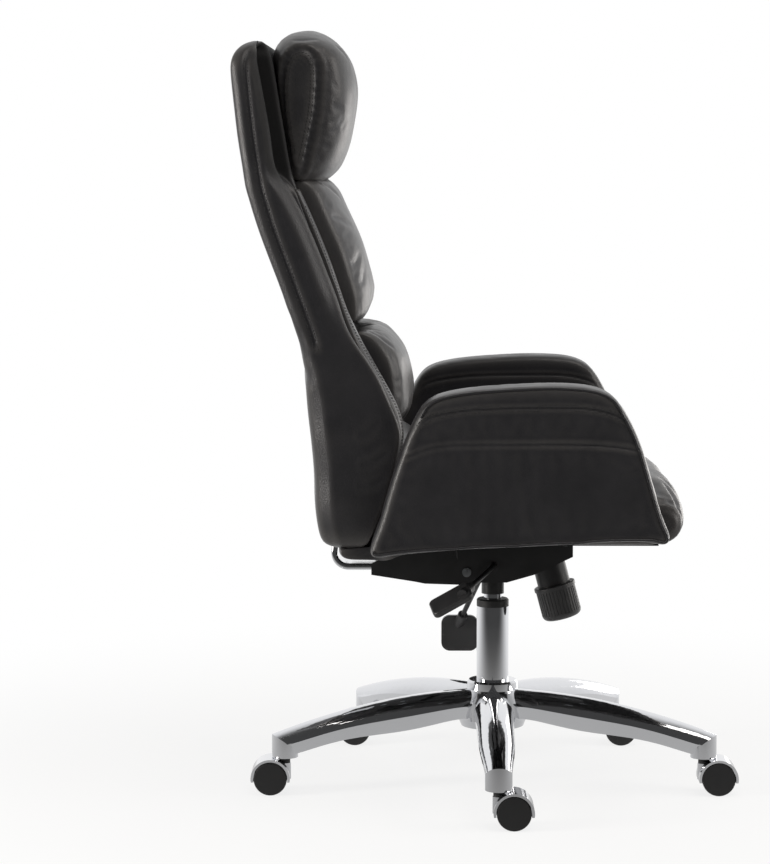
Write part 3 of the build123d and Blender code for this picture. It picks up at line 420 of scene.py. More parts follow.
def neighbourMean(mesh, values):
    # Mean of each point's neighbours along the mesh's edges
    pairs = np.empty(len(mesh.edges) * 2, int)
    mesh.edges.foreach_get("vertices", pairs)
    a, b = pairs[::2], pairs[1::2]
    total, count = np.zeros_like(values), np.zeros(len(values))
    for one, other in ((a, b), (b, a)):
        np.add.at(total, one, values[other])
        np.add.at(count, one, 1)
    return total / np.maximum(count, 1)[:, None]


def relaxed(mesh, coords, rounds):
    # Each round smooths the points and then pushes them back, so the form keeps its size
    for _ in range(rounds):
        coords = coords + 0.5 * (neighbourMean(mesh, coords) - coords)
        coords = coords - 0.52 * (neighbourMean(mesh, coords) - coords)
    return coords


def nearLine(points, line):
    # Distance of each point from a sampled line, and the share of its length where it is nearest
    square = (points**2).sum(1)[:, None] + (line**2).sum(1)[None] - 2 * points @ line.T
    return np.sqrt(np.maximum(square.min(1), 0)), square.argmin(1) / (len(line) - 1)


def pushed(piece, amount):
    # The skin moved along its normals by an amount in millimetres at each point
    mesh = piece.data
    setCoords(mesh, coordsOf(mesh) + coordsOf(mesh, "normal") * (amount * mm)[:, None])


def creased(piece, line, wide, deep, puff, gather=0, folds=0):
    # A seam pulls the skin in by a Gaussian of the distance, lifts it beside the stitches and gathers it
    apart, along = nearLine(coordsOf(piece.data) / mm, line)
    pull = -deep * np.exp(-((apart / wide) ** 2))
    pull += puff * np.exp(-(((apart - 2.2 * wide) / (1.1 * wide)) ** 2))
    ripple = np.sin(2 * pi * folds * along) + 0.6 * np.sin(4.7 * pi * folds * along + 1)
    pushed(piece, pull + gather * ripple * np.exp(-((apart / (3.2 * wide)) ** 2)))


def markWear(piece, strength=5.0):
    # Wear is 0 on flat hide and 1 on crests, by how far a point stands above its neighbours' mean
    mesh = piece.data
    coords, normals = coordsOf(mesh), coordsOf(mesh, "normal")
    above = ((coords - neighbourMean(mesh, coords)) * normals).sum(1)
    above = neighbourMean(mesh, above[:, None])[:, 0]
    wear = np.clip(above / mm * strength, 0, 1)
    writeShares(mesh, "wear", neighbourMean(mesh, wear[:, None]))


# How a padded piece is filled, where its own dictionary says nothing else
padding = {
    "cell": 4.5, "stiff": 22, "pressure": 4, "quality": 5, "mass": 0.25, "frames": 20,
    "smoothBefore": 4, "smoothAfter": 3,
}


def inflate(piece, own, held):
    # Padded leather: voxel remesh, then cloth pressure with the held places pinned, movement eased to a cap
    pad = {**padding, **own}
    cells = piece.modifiers.new("cells", "REMESH")
    cells.mode = "VOXEL"
    cells.voxel_size = pad["cell"] * mm
    mesh = bakedMesh(piece)
    piece.modifiers.clear()
    piece.data = mesh
    start = relaxed(mesh, coordsOf(mesh), pad["smoothBefore"])
    setCoords(mesh, start)
    pins = piece.vertex_groups.new(name="held")
    weights = np.clip(held(start / mm), 0, 1)
    for level in (0.25, 0.5, 0.75, 1.0):
        chosen = np.flatnonzero(np.round(weights * 4) / 4 == level)
        pins.add(chosen.tolist(), level, "REPLACE")
    cloth = piece.modifiers.new("fill", "CLOTH")
    rules = cloth.settings
    rules.quality, rules.mass = pad["quality"], pad["mass"]
    rules.tension_stiffness = rules.compression_stiffness = pad["stiff"]
    rules.shear_stiffness = pad["stiff"] / 3
    rules.bending_stiffness = pad["bend"]
    rules.use_pressure = True
    rules.uniform_pressure_force = pad["pressure"]
    rules.vertex_group_mass = "held"
    rules.shrink_min = -pad["spare"]
    rules.effector_weights.gravity = 0
    cloth.point_cache.frame_end = pad["frames"]
    for step in range(pad["frames"]):
        scene.frame_set(step + 1)
    blown = bakedMesh(piece)
    move = coordsOf(blown) - start
    piece.modifiers.clear()
    piece.vertex_groups.clear()
    bpy.data.meshes.remove(blown)
    far = np.maximum(norm(move, axis=1), 1e-9)[:, None] / (pad["cap"] * mm)
    start = start + move * np.tanh(far) / far
    setCoords(mesh, relaxed(mesh, start, pad["smoothAfter"]))
    scene.frame_set(1)
    mesh.shade_smooth()


def subdivided(piece):
    finer = piece.modifiers.new("finer", "SUBSURF")
    finer.levels = finer.render_levels = 1


def surfaceOf(piece):
    # Search tree of the finished surface
    mesh = bakedMesh(piece)
    polygons = [tuple(face.vertices) for face in mesh.polygons]
    found = BVHTree.FromPolygons([point.co.copy() for point in mesh.vertices], polygons)
    bpy.data.meshes.remove(mesh)
    return found


def laidOn(surface, line):
    # A line pressed on a surface: its points and the surface's normals there
    hits = [surface.find_nearest(Vector(point * mm)) for point in line]
    return np.array([hit[0] for hit in hits]) / mm, np.array([hit[1] for hit in hits])


def unit(vectors):
    return vectors / np.maximum(norm(vectors, axis=-1, keepdims=True), 1e-9)


def stitchRow(name, rows, look):
    # Each stitch is a six-sided capsule, pitch times cover long, half sunk in the hide
    turn = np.linspace(0, 2 * pi, 6, endpoint=False)
    rise = np.array([-1.0, -0.82, 0.82, 1.0])[:, None]
    fat = np.array([0.15, 1.0, 1.0, 0.15])[:, None]
    spots = np.stack(np.broadcast_arrays(rise, fat * np.cos(turn), fat * np.sin(turn)), -1).reshape(-1, 3)
    capsule = gridFaces(4, 6, True).tolist() + [[5, 4, 3, 2, 1, 0], [18, 19, 20, 21, 22, 23]]
    local = spots * np.array([look["pitch"] * look["cover"] / 2, look["thick"] / 2, look["thick"] / 2])
    points, faces = [], []
    for places, normals in rows:
        length = lengthAlong(places)
        stops = np.arange(look["pitch"], length[-1] - look["pitch"], look["pitch"])
        at, up = sampled(places, length, stops), unit(sampled(normals, length, stops))
        ahead = sampled(places, length, stops + 0.5) - at
        ahead = unit(ahead - (ahead * up).sum(1)[:, None] * up)
        turned = np.stack([ahead, np.cross(up, ahead), up], 1)
        row = np.einsum("kc,ncd->nkd", local, turned) + (at + 0.1 * look["thick"] * up)[:, None]
        first = sum(len(block) for block in points) + len(spots) * np.arange(len(at))
        points.append(row.reshape(-1, 3))
        faces += [[base + corner for corner in face] for base in first.tolist() for face in capsule]
    meshPiece(name, np.vstack(points), faces, thread)


def cordTube(name, places, normals, radius, sink, material):
    # A round cord carried along the line, sunk part of its radius into what it lies on
    turn = np.linspace(0, 2 * pi, 10, endpoint=False)[None, :, None]
    ahead = unit(np.gradient(places, axis=0))
    up = unit(normals - (normals * ahead).sum(1)[:, None] * ahead)
    side = np.cross(ahead, up)
    heart = places + up * radius * (1 - sink)
    rings = heart[:, None] + radius * (np.cos(turn) * up[:, None] + np.sin(turn) * side[:, None])
    for end in (0, -1):
        rings[end] = heart[end] + 0.4 * (rings[end] - heart[end])
    return loftPiece(name, rings, material)


def onSide(x, line):
    # A side-view line at one distance from the middle of the chair
    return np.column_stack([np.full(len(line), x), line])


def mirrored(piece, name):
    # The same piece on the chair's other side
    mesh = piece.data.copy()
    coords = coordsOf(mesh)
    coords[:, 0] *= -1
    setCoords(mesh, coords)
    mesh.flip_normals()
    return addPiece(name, mesh)


print("helpers ready")


# Tension spring: a coil under the roof of its cup, clear of the nut by the nut's own travel
coil = {
    "root": (0, -86, 345), "lean": 15, "roof": 3.5, "end": 65.7, "squeezed": 29.1,
    "radius": 17, "wire": 2.2, "turns": 6, "steps": 40,
}


def buildCoil(look):
    # A round wire along a helix about the leaning axis, drawn at one length
    lean = radians(look["lean"])
    down, ahead = np.array((0.0, -sin(lean), -cos(lean))), np.array((0.0, cos(lean), -sin(lean)))
    turn = np.linspace(0, 2 * pi * look["turns"], look["steps"] * look["turns"])[:, None]
    depth = np.linspace(look["roof"] + look["wire"], look["end"] - look["wire"], len(turn))[:, None]
    out = np.cos(turn) * np.array((1.0, 0.0, 0.0)) + np.sin(turn) * ahead
    places = look["root"] + out * look["radius"] + down * depth
    piece = cordTube("tension_coil", places, out, look["wire"], 1.0, springWire)
    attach(piece, "mechanism")
    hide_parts("tension_spring")
    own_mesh(piece)


buildCoil(coil)
print("tension spring wound")


# Back shell: the boxed outside of the back, with side wings that hold the cushions
backShell = {
    # height, half width, rear edge, front edge of the wing, floor between the wings
    "rows": (
        (396, 232, 243, 206, 221), (404, 243, 256, 192, 221), (420, 249, 263, 184, 219),
        (460, 253, 268, 168, 214), (500, 254, 269, 156, 209), (558, 257, 274, 144, 202),
        (584, 257, 277, 147, 205), (618, 258, 280, 161, 209), (660, 258, 283, 181, 215),
        (715, 256, 295, 217, 222), (760, 254, 311, 234, 237), (795, 252, 324, 247, 250),
        (867, 248, 351, 276, 276), (912, 246, 365, 298, 293), (930, 245, 370, 309, 299),
        (955, 243, 374, 325, 306), (1000, 241, 381, 333, 314), (1042, 239, 386, 340, 321),
        (1090, 236, 391, 349, 329), (1112, 233, 391, 353, 333), (1127, 226, 385, 354, 337),
        (1138, 215, 373, 355, 343), (1143, 199, 360, 354, 349),
    ),
    "rowCount": 170,
    # rear facet: width at the foot and above, the heights where it slims, its turn
    "rearCut": (23, 7), "cutFade": (745, 590), "cutTurn": 0.65,
    # wing, and the groove beside the pillow with the heights where it opens and closes
    "wing": 15, "wingAbove": 25, "groove": 9, "bedHalf": 198,
    "grooveFoot": (918, 958), "grooveHead": (1143, 1128),
    # where painted shade darkens the groove: in height, on the wall ahead of it and towards the rear
    "paintedShadeFoot": (925, 955), "paintedShadeHead": (1138, 1120), "paintedShadeAhead": (20, 3), "paintedShadeRear": (12, 20),
    # swell of the rear panel and of the side walls
    "crown": 8, "crownFade": (0.45, 0), "flank": (0.93, 0.985),
    "sidePuff": 3, "puffFoot": (400, 470), "puffHead": (1130, 1060),
    "facet": 24, "facetIn": 11, "facetFoot": (690, 790), "facetHead": (975, 925),
    # fillets from the rear facet round to the bed, and steps along the edges between them
    "fillets": (10, 5, 6, 6, 9, 9, 6), "rolled": 5,
    "edgeSteps": (5, 38, 4, 8, 6, 4, 40, 4, 6, 8, 4, 38, 5, 60), "arcSteps": 7,
    # side seam: distance from the rear edge, and the heights it is creased and stitched between
    "seamFromRear": 22, "seamRun": (700, 1128), "stitchRun": (690, 1126),
}


def filletRows(corners, radii, arcSteps, edgeSteps):
    # Closed loops: corners rounded by a quadratic curve, edges between them divided evenly
    before = np.roll(corners, 1, axis=1) - corners
    after = np.roll(corners, -1, axis=1) - corners
    reachBefore = norm(before, axis=2, keepdims=True)
    reachAfter = norm(after, axis=2, keepdims=True)
    radius = np.minimum(radii[..., None], 0.46 * np.minimum(reachBefore, reachAfter))
    enter, leave = corners + before / reachBefore * radius, corners + after / reachAfter * radius
    t = np.linspace(0, 1, arcSteps)[None, :, None]
    loops = []
    for k, steps in enumerate(edgeSteps):
        p, c, q = enter[:, k, None], corners[:, k, None], leave[:, k, None]
        loops.append((1 - t) ** 2 * p + 2 * t * (1 - t) * c + t**2 * q)
        s = np.linspace(0, 1, steps + 2)[None, 1:-1, None]
        loops.append(q + (np.roll(enter, -1, axis=1)[:, k, None] - q) * s)
    return np.concatenate(loops, axis=1)


def buildBackShell(look):
    # Horizontal sections stacked in height, each round the rear, the side walls, the wings and the bed
    z, half, rear, seam, bed = spline(look["rows"], look["rowCount"]).T
    # Beside the pillow the wing is a wider roll, with a groove between it and the bed
    opened = ease(z, *look["grooveFoot"]) * ease(z, *look["grooveHead"])
    wing = look["wing"] + (look["wingAbove"] - look["wing"]) * opened
    groove = bed + 0.5 + (seam + look["groove"] - bed) * opened
    inside = np.minimum(look["bedHalf"], half - wing - 6)
    # The rear corner is cut to a facet, broad at the foot and slim above the elbow
    broad, slim = look["rearCut"]
    cut = slim + (broad - slim) * ease(z, *look["cutFade"])
    right = [(look["cutTurn"] * cut - half, rear), (-half, rear - cut), (-half, seam)]
    right += [(wing - half, seam + 1), (wing + 2 - half, groove), (-inside, groove), (1 - inside, bed)]
    both = right + [(-x, y) for x, y in right[::-1]]
    corners = np.stack([np.stack(pair, axis=1) for pair in both], axis=1)
    rounds = [np.full_like(z, radius) for radius in look["fillets"]]
    rounds[2] = rounds[3] = look["fillets"][2] + look["rolled"] * opened
    radii = np.stack(rounds + rounds[::-1], axis=1)
    loops = filletRows(corners, radii, look["arcSteps"], look["edgeSteps"])
    x, y = loops[..., 0], loops[..., 1]
    z, half, rear, seam, wing = (values[:, None] for values in (z, half, rear, seam, wing))
    share = (rear - y) / (rear - seam)
    # The rear panel swells in the middle, the side walls swell between their seams
    y = y + look["crown"] * (1 - (x / half) ** 2) * ease(share, *look["crownFade"])
    flank = ease(np.abs(x) / half, *look["flank"])
    fade = ease(z, *look["puffFoot"]) * ease(z, *look["puffHead"])
    x = x + np.sign(x) * flank * look["sidePuff"] * np.sin(pi * np.clip(share, 0, 1)) * fade
    # Above the elbow a facet turns in towards the cushions, behind the wing's edge
    turned = ease(z, *look["facetFoot"]) * ease(z, *look["facetHead"])
    ahead = ease(y - seam, look["facet"], 0.0)
    x = x - np.sign(x) * flank * look["facetIn"] * ahead * turned
    piece = loftPiece("back_shell_cover", np.stack([x, y, np.broadcast_to(z, x.shape)], axis=-1))
    # Painted shade: full in the groove, and fading out over the last of the side wall before it
    within = ease(np.abs(x), half - 5, half - wing)
    leading = 0.9 * ease(y - seam, *look["paintedShadeAhead"]) * ease(z, *look["paintedShadeHead"])
    paintedShade = np.maximum(within, leading) * ease(z, *look["paintedShadeFoot"])
    writeShares(piece.data, "recess_shade", paintedShade * ease(rear - y, *look["paintedShadeRear"]))
    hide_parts("back_rear_shell")
    return piece


def shellLine(look, low, high, count=240):
    # The seam on the right side wall, a fixed distance ahead of the rear edge
    z, half, rear = spline(look["rows"], 400).T[:3]
    keep = (z > low) & (z < high)
    line = np.stack([-half - look["sidePuff"], rear - look["seamFromRear"], z], axis=1)[keep]
    return line[np.linspace(0, len(line) - 1, count).astype(int)]


shellPiece = buildBackShell(backShell)
creases = {
    # short folds in the side panel where the back bends above the arm
    "side": (
        ((-256, 178, 585), (-257, 190, 572), (-257, 203, 566)),
        ((-256, 166, 540), (-257, 182, 528), (-257, 198, 524)),
        ((-256, 170, 502), (-256, 184, 494), (-256, 202, 492)),
    ),
    "sideFold": {"wide": 3.6, "deep": 0.6, "puff": 0.3},
    # long slack folds across the rear panel where the back bends
    "rear": (
        ((-236, 296, 742), (-160, 306, 726), (-70, 306, 718)),
        ((240, 300, 760), (150, 312, 740), (40, 312, 734)),
        ((-244, 282, 652), (-170, 288, 664), (-96, 290, 668)),
        ((244, 280, 636), (176, 286, 650), (110, 289, 656)),
    ),
    "rearFold": {"wide": 9, "deep": 1.1, "puff": 0.6},
    "seam": {"wide": 4, "deep": 2, "puff": 1},
}
for line in creases["side"]:
    creased(shellPiece, spline(line, 30), **creases["sideFold"])
for line in creases["rear"]:
    creased(shellPiece, spline(line, 60), **creases["rearFold"])
creased(shellPiece, shellLine(backShell, *backShell["seamRun"]), **creases["seam"])
markWear(shellPiece, 6.0)
print("back shell built")


# Cushions and headrest: a middle loop drawn to a slimmer one at the sides
def cushionRings(look, endLoop, count, columns):
    # Rings along X: each lies between the end loop and the middle loop by a fullness of (1 - t^power)^0.5
    middle = spline(look["loop"], columns, True)
    end = spline(endLoop, columns, True)
    t = np.sin(np.linspace(-pi / 2, pi / 2, count))
    full = np.sqrt(1 - np.abs(t) ** look["power"])[:, None, None]
    flat = end[None] + (middle - end)[None] * full
    heart = end.mean(0)
    # End panels bulge from the seam to their middle
    cap = np.array([0.9, 0.72, 0.5, 0.26])[:, None, None]
    panel = heart + (end - heart)[None] * cap
    out = look["half"] + look["endBulge"] * (1 - cap[:, :, 0] ** 2)
    x = np.concatenate([-out[::-1], look["half"] * t[:, None], out])
    flat = np.concatenate([panel[::-1], flat, panel])
    return np.concatenate([np.broadcast_to(x[..., None], flat.shape[:2] + (1,)), flat], axis=2)


# Heights, and how far back the board is at each
boardLine = ((400, 560, 722, 935, 1114), (225, 205, 226, 305, 337))


def drawnBack(loop, share, squeeze):
    # The loop pulled towards the board behind it, and shortened in height
    loop = np.array(loop, float)
    board = np.interp(loop[:, 1], *boardLine)
    middle = loop[:, 1].mean()
    ahead = np.maximum(board - loop[:, 0], 0)
    return np.stack([board - ahead * share, middle + (loop[:, 1] - middle) * squeeze], 1)


pillow = {
    "loop": (
        (307, 940), (286, 932), (264, 936), (246, 950), (235, 968), (226, 991), (219, 1029), (214, 1067),
        (216, 1097), (225, 1129), (247, 1146), (277, 1157), (299, 1160), (320, 1155), (332, 1140),
        (334, 1118), (327, 1075), (319, 1030), (312, 985),
    ),
    "end": (
        (304, 950), (298, 942), (292, 946), (284, 972), (278, 1000), (270, 1043), (267, 1086), (271, 1120),
        (288, 1132), (305, 1127), (314, 1114), (319, 1086), (316, 1028), (310, 985),
    ),
    "grid": (45, 110), "half": 178, "power": 4.5, "endBulge": 7, "band": 10,
    "bend": 1.5, "spare": 0.008, "cap": 8, "fill": 0.8,
    "seam": {"wide": 4, "deep": 2.6, "puff": 1, "gather": 0.7, "folds": 34},
    "stitchIn": 7, "stitchOut": 4, "stitchRun": slice(24, 246),
}
cushions = {
    # how much of its depth and of its height each keeps at the ends, and its middle loop
    "middle": {"share": 0.46, "squeeze": 0.95, "loop": (
        (224, 726), (208, 724), (197, 728), (191, 745), (191, 768), (198, 796), (210, 838), (225, 872),
        (240, 905), (252, 929), (271, 942), (294, 945), (306, 938), (290, 890), (259, 815), (238, 762),
    )},
    "lumbar": {"share": 0.62, "squeeze": 0.96, "loop": (
        (204, 569), (172, 565), (144, 569), (131, 582), (127, 602), (129, 622), (132, 646), (139, 673),
        (148, 686), (163, 702), (183, 713), (204, 716), (220, 711), (215, 660), (207, 600),
    )},
    "lower": {"share": 0.62, "squeeze": 0.96, "loop": (
        (220, 431), (182, 424), (134, 428), (112, 443), (104, 471), (104, 500), (111, 528), (125, 547),
        (151, 555), (203, 553), (209, 500),
    )},
}
cushionPad = {
    "grid": (45, 110), "half": 168, "power": 4, "endBulge": 3, "band": 12,
    "bend": 1.2, "spare": 0.012, "cap": 9, "fill": 0.75,
}


def endHeld(pad):
    # Held at both end seams, free between them
    half, band = pad["half"], pad["band"]
    return lambda points: ease(np.abs(points[:, 0]), half - band, half - 0.3 * band)


pillowPiece = loftPiece("headrest_pillow_cover", cushionRings(pillow, pillow["end"], *pillow["grid"]))
inflate(pillowPiece, pillow, endHeld(pillow))
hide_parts("headrest_pillow")
endSeam = spline(pillow["end"], 220, True)
endSeam = np.vstack([endSeam, endSeam[:1]])
for x in (-pillow["half"], pillow["half"]):
    creased(pillowPiece, onSide(x, endSeam), **pillow["seam"])
markWear(pillowPiece)
subdivided(pillowPiece)
print("headrest pillow filled")

for name, look in cushions.items():
    pad = {**cushionPad, **look}
    endLoop = drawnBack(pad["loop"], pad["share"], pad["squeeze"])
    piece = loftPiece(name + "_cushion_cover", cushionRings(pad, endLoop, *pad["grid"]))
    inflate(piece, pad, endHeld(pad))
    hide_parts("back_cushion_" + name)
    markWear(piece)
    subdivided(piece)
print("back cushions filled")


# Side bolsters: soft rolls between the wings and the cushions
bolster = {
    # height, crest, rear
    "rows": (
        (410, 184, 222), (440, 170, 219), (500, 150, 211), (560, 139, 204), (590, 142, 207), (630, 160, 213),
        (680, 188, 219), (740, 219, 231), (800, 240, 254), (860, 263, 276), (905, 283, 293), (926, 293, 301),
    ),
    "inner": 170, "wing": 15, "turnIn": 0.6, "nose": 12, "fill": 0.85,
    "seamAt": 229, "seamRun": slice(8, -8),
}


def bolsterRings(look, shell):
    # Horizontal sections from the seat up: straight at the rear and sides, an ellipse across the front
    z, crest, rear = spline(look["rows"], 110).T[..., None]
    table = np.array(shell["rows"], float)
    outer = np.interp(z, table[:, 0], table[:, 1]) - look["wing"]
    outer = outer - ease(z, *shell["facetFoot"]) * shell["facetIn"] * look["turnIn"]
    middle, reach = (outer + look["inner"]) / 2, (outer - look["inner"]) / 2
    nose = np.minimum(look["nose"], 0.5 * (rear - crest))
    turn = np.linspace(0, pi, 26)
    back = np.linspace(1, -1, 16)
    x = np.concatenate([middle + reach * np.cos(turn), middle - reach * back], axis=1)
    y = np.concatenate([crest + nose - nose * np.sin(turn) ** 0.7, np.repeat(rear, 16, axis=1)], axis=1)
    return np.stack([-x, y, np.broadcast_to(z, x.shape)], axis=-1)


bolsterRight = loftPiece("right_bolster_cover", bolsterRings(bolster, backShell))
markWear(bolsterRight)
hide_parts("back_bolster_right")
bolsterLeft = mirrored(bolsterRight, "left_bolster_cover")
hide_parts("back_bolster_left")
print("bolsters filled")


# Seat cushion: domed top, a full roll over the front edge, gathered front corners
seat = {
    "loop": (
        (88, 403), (40, 402), (-40, 402), (-120, 402), (-200, 402), (-250, 404), (-270, 411), (-281, 425),
        (-284, 440), (-282, 456), (-272, 474), (-257, 484), (-228, 490), (-180, 494), (-90, 494), (0, 489),
        (58, 481), (84, 468), (92, 448), (92, 420),
    ),
    "end": (
        (70, 405), (30, 404), (-40, 404), (-120, 404), (-196, 404), (-236, 406), (-252, 412), (-260, 422),
        (-262, 432), (-260, 441), (-253, 450), (-240, 456), (-216, 460), (-176, 463), (-90, 463), (-10, 460),
        (44, 456), (66, 448), (74, 436), (74, 418),
    ),
    "grid": (51, 130), "half": 252, "power": 5, "endBulge": 3,
    "cell": 5.5, "bend": 0.8, "spare": 0.02, "cap": 9, "fill": 0.8,
    # the bottom and both ends are held, by height and by distance from the middle
    "heldLow": (412, 404), "heldEnd": (240, 250),
    # a sewn line across the top behind the front roll, and the stitches beside it
    "seamLine": ((-236, -196, 470), (-120, -204, 492), (0, -206, 497), (120, -204, 492), (236, -196, 470)),
    "seam": {"wide": 4.5, "deep": 3, "puff": 1.5, "gather": 0.5, "folds": 40},
    "stitchLine": ((-232, -196, 476), (-120, -204, 496), (0, -206, 500), (120, -204, 496), (232, -196, 476)),
    "corner": {"centre": (-250, -246, 436), "reach": 52, "pitch": 12, "height": 1.5},
}


def seatHeld(points):
    low = ease(points[:, 2], *seat["heldLow"])
    return np.maximum(low, ease(np.abs(points[:, 0]), *seat["heldEnd"]))


def gatheredCorners(piece, centre, reach, pitch, height):
    # Ripples round each front corner: a sine of the distance, fading out at the reach
    points = coordsOf(piece.data) / mm
    x, y, z = centre
    apart = np.min([norm(points - corner, axis=1) for corner in ((x, y, z), (-x, y, z))], axis=0)
    fade = ease(apart, reach, 0.35 * reach) * ease(apart, 4, 14)
    pushed(piece, height * np.sin(2 * pi * apart / pitch) * fade)


seatPiece = loftPiece("seat_cushion_cover", cushionRings(seat, seat["end"], *seat["grid"]))
inflate(seatPiece, seat, seatHeld)
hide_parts("seat_cushion")
gatheredCorners(seatPiece, **seat["corner"])
creased(seatPiece, spline(seat["seamLine"], 160), **seat["seam"])
markWear(seatPiece)
subdivided(seatPiece)
print("seat filled")


# Seat underside: a dust cloth drawn tight under the board, turned up at its edges
underside = {
    "half": 238, "front": -238, "rear": 148, "low": 388.6, "rise": 12.6, "thick": 2,
    "sideTurn": (0.52, 0.96), "frontTurn": (0.5, 0.97), "pucker": 0.5, "grid": (90, 72),
}


def buildUnderside(look):
    # Height is the larger of two smooth steps towards the edges
    rows, columns = look["grid"]
    u, v = np.meshgrid(np.linspace(-1, 1, rows), np.linspace(-1, 1, columns), indexing="ij")
    front, rear, floorAt = look["front"], look["rear"], look["low"]
    x, y = look["half"] * u, (front + rear) / 2 + (rear - front) / 2 * v
    edge = np.abs(u) ** 8 + np.clip(-v, 0, 1) ** 8 * 0.9
    turnedUp = np.maximum(ease(np.abs(u), *look["sideTurn"]), ease(-v, *look["frontTurn"]))
    low = floorAt + look["rise"] * turnedUp
    pucker = look["pucker"] * np.sin(u * 21) * np.sin(v * 17) * (1 - np.clip(edge, 0, 1))
    low = low + pucker * ease(low, floorAt, floorAt + 2)
    skins = np.concatenate([np.stack([x, y, z], -1).reshape(-1, 3) for z in (low, low + look["thick"])])
    faces = gridFaces(rows, columns, False)
    at = np.arange(rows * columns).reshape(rows, columns)
    rim = np.concatenate([at[0], at[1:, -1], at[-1, -2::-1], at[-2:0:-1, 0]])
    after, over = np.roll(rim, -1), rows * columns
    wall = np.stack([rim, after, after + over, rim + over], 1)
    shut = np.concatenate([faces, faces[:, ::-1] + over, wall]).tolist()
    return meshPiece("seat_dust_cloth", skins, shut, dustCloth)


clothPiece = buildUnderside(underside)
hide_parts("seat_board")

# Gusset: a slack leather fold that fills the valley between the seat and the back
gusset = {
    "loop": (
        (234, 394), (236, 388), (229, 380.5), (200, 378), (165, 379), (148, 386), (120, 392), (94, 396),
        (82, 404), (80, 418), (88, 431), (104, 436), (124, 434), (146, 425), (164, 417), (176, 414),
        (184, 406), (192, 398), (207, 394.5),
    ),
    "grid": (61, 110), "half": 236, "power": 9, "endBulge": 2, "tuck": 0.93, "fill": 0.4,
    "spread": 0.085, "spreadFrom": (186, 150),
}
fold = np.array(gusset["loop"])
foldEnd = fold.mean(0) + (fold - fold.mean(0)) * gusset["tuck"]
gussetRings = cushionRings(gusset, foldEnd, *gusset["grid"])
# Its front half is wider and reaches the arms
gussetRings[..., 0] *= 1 + gusset["spread"] * ease(gussetRings[..., 1], *gusset["spreadFrom"])
gussetPiece = loftPiece("seat_back_gusset", gussetRings)
markWear(gussetPiece)
print("seat underside covered")


# Arms: one leather skin over the side panel and the padded top roll, sewn down in two lines
arm = {
    "outline": (
        (187, 400), (176, 438), (161, 488), (147, 532), (135, 566), (119, 602), (103, 622), (81, 632),
        (44, 639), (0, 643), (-60, 646), (-110, 645), (-142, 640), (-161, 631), (-175, 616), (-197, 576),
        (-212, 534), (-226, 486), (-240, 444), (-247, 427), (-246, 418), (-238, 414), (-222, 417),
        (-145, 417), (-59, 412), (28, 408), (115, 402), (160, 397), (179, 395),
    ),
    "seam": (
        (128, 574), (112, 593), (87, 604), (29, 612), (-43, 614), (-114, 614), (-150, 609), (-175, 599),
        (-192, 582),
    ),
    "channel": ((140, 540), (101, 555), (58, 560), (-29, 561), (-115, 561), (-173, 557), (-206, 551)),
    "inner": 267, "outer": 333, "edge": 11, "rollProud": 4, "rollFrom": (596, 622),
    "stiff": 26, "bend": 4, "spare": 0.002, "cap": 4.5, "fill": 0.8,
    # where the skin is held, sewn and piped: from the middle of the chair, from the edge and from a line
    "innerHeld": (-276, -270), "rimHeldAt": -330, "seamAt": (-336, -264), "channelAt": -335,
    "rimIn": 3, "rimHeld": (14, 7), "sewnHeld": (9, 4),
    "seamCrease": {"wide": 1.9, "deep": 2, "puff": 0.5},
    "channelCrease": {"wide": 2.1, "deep": 2.3, "puff": 0.6, "gather": 0.12, "folds": 26},
    "pipeAt": -337, "pipeIn": 2, "pipeStart": (119, 602), "pipeSteps": (520, 430),
}


def insetLoop(loop, distance):
    # The loop moved inwards along its normals
    ahead = unit(np.roll(loop, -1, 0) - np.roll(loop, 1, 0))
    normal = np.stack([-ahead[:, 1], ahead[:, 0]], 1)
    area = (loop[:, 0] * np.roll(loop[:, 1], -1) - loop[:, 1] * np.roll(loop[:, 0], -1)).sum()
    return loop + normal * distance * np.sign(area)


def boxedRings(look, columns):
    # Slices along X, rounded in by a quarter circle at both faces
    loop = spline(look["outline"], columns, True)
    turn = np.linspace(0, pi / 2, 7)
    inward, along = look["edge"] * (1 - np.sin(turn)), look["edge"] * (1 - np.cos(turn))
    x = np.concatenate([look["inner"] + along, (look["outer"] - along)[::-1]])
    flat = np.stack([insetLoop(loop, d) for d in np.concatenate([inward, inward[::-1]])])
    middle = (look["inner"] + look["outer"]) / 2
    # The top roll stands proud of the panel on both faces
    proud = 1 + look["rollProud"] / (look["outer"] - middle) * ease(flat[..., 1], *look["rollFrom"])
    across = middle + (x[:, None] - middle) * proud
    return np.concatenate([-across[..., None], flat], axis=2)


armRight = loftPiece("right_arm_cover", boxedRings(arm, 220))
sewnLines = [onSide(x, spline(arm["seam"], 220)) for x in arm["seamAt"]]
sewnLines.append(onSide(arm["channelAt"], spline(arm["channel"], 220)))
heldEdge = onSide(arm["rimHeldAt"], insetLoop(spline(arm["outline"], 420, True), arm["rimIn"]))


def armHeld(points):
    # Held on the inner face, round the outer edge and along the sewn lines
    inside = ease(points[:, 0], *arm["innerHeld"])
    rim = ease(nearLine(points, heldEdge)[0], *arm["rimHeld"])
    sewn = np.max([ease(nearLine(points, line)[0], *arm["sewnHeld"]) for line in sewnLines], axis=0)
    return np.maximum(np.maximum(inside, rim), sewn)


inflate(armRight, arm, armHeld)
# The finer skin comes first here, so that the sewn lines are crisp
subdivided(armRight)
finerSkin = bakedMesh(armRight)
armRight.modifiers.clear()
armRight.data = finerSkin
for line, crease in zip(sewnLines, ("seamCrease", "seamCrease", "channelCrease")):
    creased(armRight, line, **arm[crease])
markWear(armRight, 8.0)
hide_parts("arm_panel_right", "arm_top_roll_right")
armLeft = mirrored(armRight, "left_arm_cover")
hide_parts("arm_panel_left", "arm_top_roll_left")
print("arms filled")


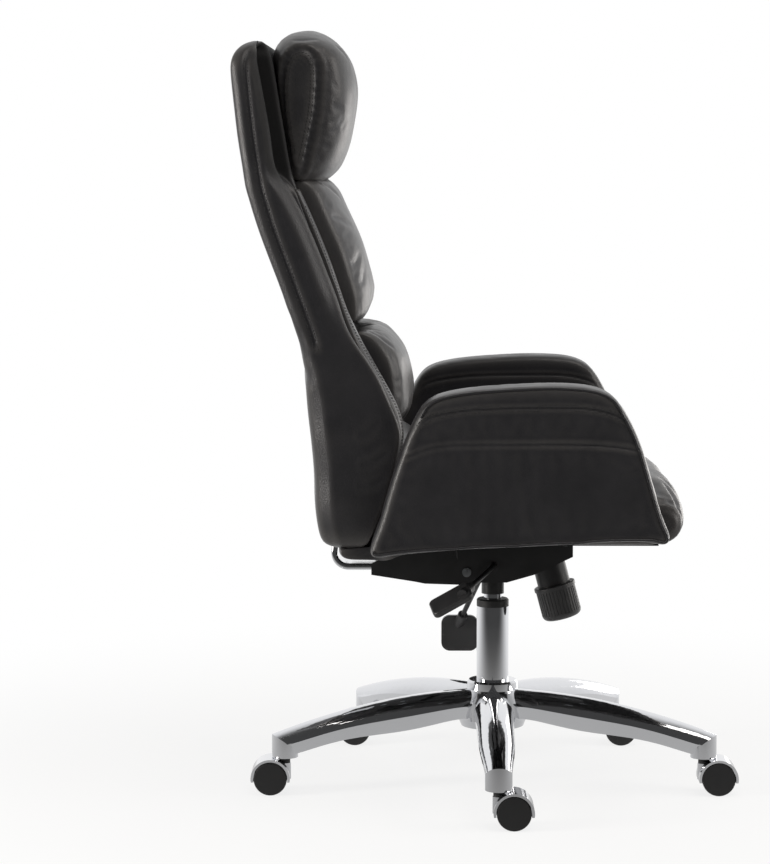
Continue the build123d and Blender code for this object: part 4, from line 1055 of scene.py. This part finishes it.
# Sewing: paired rows of stitches on the seams, and piping round the arms
sewing = {"pitch": 5, "cover": 0.74, "thick": 1, "pipe": 1.9, "pipeSink": 0.35}


def pairedRows(surface, line, apart):
    # Two rows beside a line on a surface, each half the gap away from it
    places, normals = laidOn(surface, line)
    side = unit(np.cross(normals, np.gradient(places, axis=0)))
    return [laidOn(surface, places + side * offset) for offset in (-apart, apart)]


def onBothSides(rows):
    flip = np.array((-1.0, 1.0, 1.0))
    return rows + [(places * flip, normals * flip) for places, normals in rows]


table = np.array(bolster["rows"], float)
bolsterSeam = spline(onSide(-bolster["seamAt"], table[:, 1::-1]), 240)[bolster["seamRun"]]
endEdge = insetLoop(spline(pillow["end"], 260, True), pillow["stitchIn"])
pillowSeam = onSide(-pillow["half"] - pillow["stitchOut"], endEdge)[pillow["stitchRun"]]
sewnRows = (
    # name, piece, line between the rows, half of the gap, whether both sides have it
    ("back_side_stitches", shellPiece, shellLine(backShell, *backShell["stitchRun"]), 3.2, True),
    ("bolster_stitches", bolsterRight, bolsterSeam, 3.2, True),
    ("pillow_stitches", pillowPiece, pillowSeam, 2.6, True),
    ("arm_stitches", armRight, sewnLines[0][4:-4], 4.2, True),
    ("seat_stitches", seatPiece, spline(seat["stitchLine"], 240), 4.5, False),
)
for name, piece, line, apart, twinned in sewnRows:
    rows = pairedRows(surfaceOf(piece), line, apart)
    stitchRow(name, onBothSides(rows) if twinned else rows, sewing)

# Piping follows the arm's outer edge: over the top, down the front and along the bottom
around, piped = arm["pipeSteps"]
edgeLoop = spline(arm["outline"], around, True)
first = int(np.argmin(norm(edgeLoop - np.array(arm["pipeStart"]), axis=1)))
pipeLine = onSide(arm["pipeAt"], insetLoop(np.roll(edgeLoop, -first, axis=0), arm["pipeIn"])[:piped])
laid = laidOn(surfaceOf(armRight), pipeLine)
pipeRight = cordTube("right_arm_piping", *laid, sewing["pipe"], sewing["pipeSink"], pipingLeather)
mirrored(pipeRight, "left_arm_piping")
print("seams sewn")
